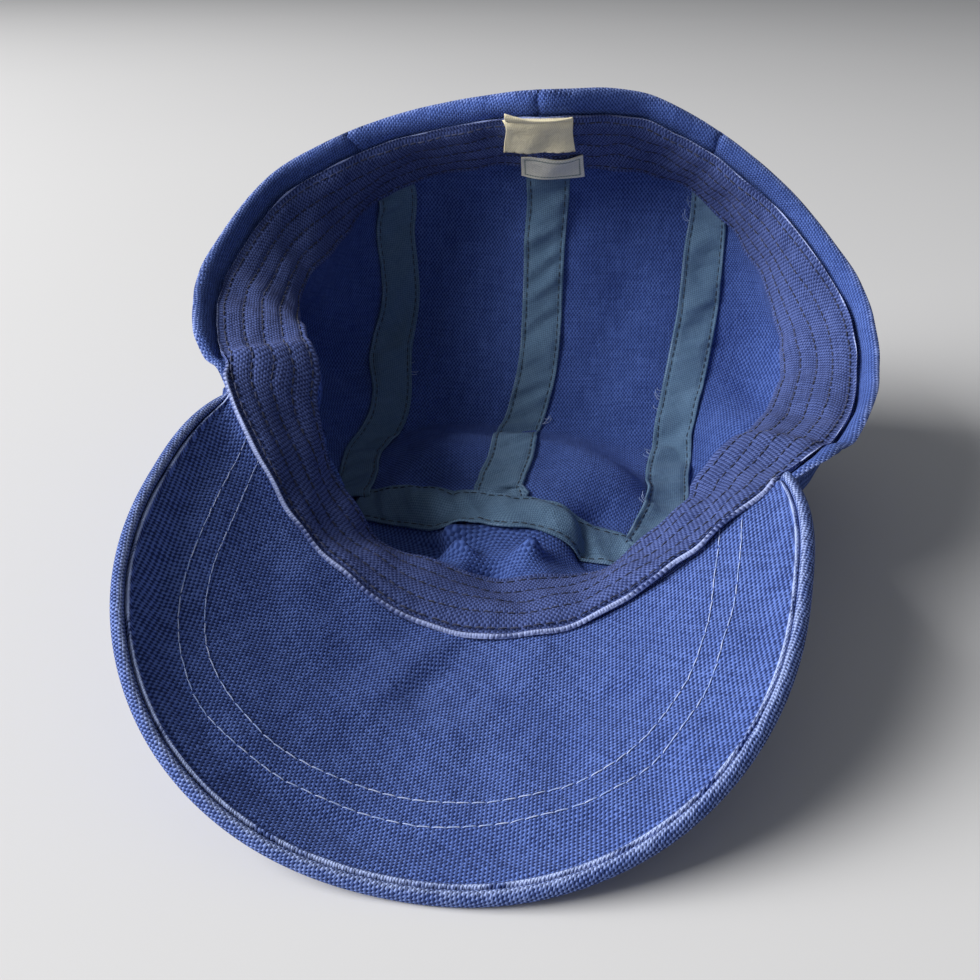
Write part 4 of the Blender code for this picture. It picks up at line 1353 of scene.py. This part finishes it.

# %% [markdown]
# ## Canvas
# Plain weave is a checker of small pillows: where the warp passes over, the cell is lighter. Partly
# that is wear, because washing wears the warp first, and partly it is painted light: the dark colour is
# painted shade in the pits between the threads, and the light colour is lit thread tops. Two sine waves
# multiplied give the checker.
# A little noise bends the threads, and long narrow noise makes some threads thicker than their
# neighbours.

# %% Woven cloth
def woven(name, dark_painted_shade, light_lit_and_worn, faded, worn_colour, warp, weft, relief, roughness, sheen, tint, turn=0.0,
          dust=0.0, contrast=1.0):
    """Cloth with threads warp and weft metres apart, whose weave stands relief metres high."""
    finish = Finish(name, roughness, sheen, tint)
    where = finish.place()
    cloth = finish.mark("cloth", "Vector")
    if turn:
        cloth = finish.node("ShaderNodeVectorRotate", {"rotation_type": "Z_AXIS"},
                            {"Vector": cloth, "Angle": turn})
    bend = finish.noise(cloth, 0.004, 2.0)
    u, v, _ = finish.split(cloth)
    u = u + (bend - 0.5) * (warp * 1.6)
    v = v + (bend - 0.5) * (weft * -1.3)
    over = (u * (pi / warp)).sine() * (v * (pi / weft)).sine()
    thick_warp = finish.noise(finish.stretched(cloth, 1 / (warp * 1.2), 1 / (weft * 14)), 1.0, 1.0)
    thick_weft = finish.noise(finish.stretched(cloth, 1 / (warp * 14), 1 / (weft * 1.2)), 1.0, 1.0)
    fuzz = finish.noise(where, 0.00035, 2.0)
    top = (over + (thick_warp - thick_weft)).between(-0.55 / contrast, 0.60 / contrast)
    cloud = finish.noise(where, 0.022, 3.0, 0.6)
    fine_cloud = finish.noise(where, 0.0055, 3.0, 0.6)
    # The checker's dark cells are painted shade in the pits between threads, its light cells lit and
    # worn thread tops
    base = finish.blend(top, dark_painted_shade, light_lit_and_worn)
    fade = (cloud * 0.7 + fine_cloud * 0.45).between(0.42, 0.80)
    base = finish.blend(fade * top * 0.6, base, faded)
    worn = finish.mark("worn")
    rub = (worn + (fine_cloud - 0.5) * 0.4 + (top - 0.6) * 0.3).between(0.15, 0.95)
    base = finish.blend(rub, base, worn_colour)
    if dust:
        specks = finish.noise(where, 0.0011, 1.0).between(0.70, 0.76)
        base = finish.blend(specks * dust, base, worn_colour)
    height = (over.absolute() ** 0.6) * 0.8 + thick_warp * 0.5 + thick_weft * 0.5 + fuzz * 0.35
    weave = finish.bump(height, relief)
    soft = finish.bump(finish.noise(where, 0.0035, 3.0, 0.55), 0.0009, 0.55, weave)
    return finish.use(Base_Color=base, Normal=soft, Roughness=(roughness + 0.12) - top * 0.16)


def thread_finish(name, colour, other):
    finish = Finish(name, roughness=0.6, sheen=0.3)
    where = finish.place()
    cloud = finish.noise(where, 0.0030, 2.0).between(0.3, 0.7)
    twist = finish.noise(where, 0.00035, 1.0)
    base = finish.blend(cloud, colour, other)
    return finish.use(Base_Color=base, Normal=finish.bump(twist, 0.0001))


finishes = {
    # name; dark colour (painted shade between threads), light colour (lit and worn thread tops), faded
    # and worn colour; warp, weft, relief; roughness, sheen and its tint
    "canvas": woven("navy_canvas", (.024, .050, .200), (.078, .145, .465), (.105, .185, .550),
                    (.360, .450, .820), .00062, .00086, .00024, .86, .06, (.55, .65, 1), dust=.05),
    "visor_canvas": woven("visor_canvas", (.013, .028, .125), (.105, .180, .540), (.145, .235, .630),
                          (.420, .520, .860), .00054, .00078, .00022, .84, .06, (.6, .7, 1), turn=.5,
                          dust=.08),
    "sweatband": woven("sweatband_cotton", (.020, .033, .120), (.080, .122, .345), (.110, .155, .410),
                       (.400, .480, .820), .00062, .00080, .00018, .90, .06, (.6, .6, 1), dust=.04),
    "seam_tape": woven("tape_twill", (.080, .150, .250), (.135, .235, .375), (.170, .275, .415),
                       (.300, .420, .620), .00045, .00055, .00016, .84, .08, (.6, .8, 1), turn=.7),
    "label_satin": woven("label_satin", (.76, .67, .44), (.90, .82, .58), (.93, .87, .68),
                         (.06, .055, .05), .00030, .00045, .00005, .50, .1, (1, 1, 1), contrast=.6),
    "label_woven": woven("label_weave", (.72, .69, .56), (.90, .87, .74), (.93, .91, .81),
                         (.14, .20, .16), .00045, .00045, .00008, .70, .1, (1, 1, 1), contrast=.8),
}
print("finishes:", ", ".join(finishes))

# %% Each piece gets its finish
THREADS = (
    # piece, colour, other colour
    (visor_thread, (.30, .42, .78), (.52, .60, .86)),
    (band_thread, (.010, .014, .040), (.034, .044, .110)),
    (tape_thread, (.014, .022, .040), (.050, .075, .110)),
    (lint, (.200, .300, .560), (.400, .500, .760)),
)


def dress(piece, material):
    piece.data.materials.clear()
    piece.data.materials.append(material)


for slot, pieces in (("canvas", panels.values()), ("seam_tape", tapes.values()),
                     ("sweatband", [sweatband]), ("visor_canvas", [visor_under, visor_upper]),
                     ("label_satin", [size_tab]), ("label_woven", [woven_label])):
    for piece in pieces:
        dress(piece, finishes[slot])
for piece, colour, other in THREADS:
    dress(piece, thread_finish(piece.name + "_thread", colour, other))
print("threads:", ", ".join(piece.name for piece, _, _ in THREADS))

# %% [markdown]
# ## Floor and light
# The photograph has soft daylight from a large window at the upper left and a pale room. One
# large lamp stands there, and a pale world fills the shadows.

# %% Floor
bpy.ops.mesh.primitive_plane_add(size=6, location=(0, 0, 0))
floor = bpy.context.object
floor.name = "floor"
paper = Finish("floor_paper", 0.75)
clouds = paper.noise(paper.place(), 0.5)
floor.data.materials.append(paper.use(Base_Color=paper.blend(clouds, (.68, .68, .69), (.71, .71, .72))))
print("floor:", floor.name)

# %% Light
WINDOW_PLACE = Vector((-2.45, -0.82, 1.55))
WINDOW_AIM = Vector((0, 0, 0.03))
WINDOW_SIZE = 2.0
WINDOW_WATTS = 172
SKY_STRENGTH = 0.17
window = aimed(in_scene("window", bpy.data.lights.new("window", "AREA")),
               WINDOW_PLACE, WINDOW_AIM - WINDOW_PLACE)
window.data.size, window.data.energy, window.data.color = WINDOW_SIZE, WINDOW_WATTS, (1.0, 0.99, 0.97)
world = bpy.data.worlds.new("studio")
world.use_nodes = True
sky = world.node_tree.nodes["Background"].inputs
sky["Color"].default_value, sky["Strength"].default_value = (.92, .95, 1, 1), SKY_STRENGTH
bpy.context.scene.world = world
bpy.context.scene.view_settings.view_transform = "Standard"
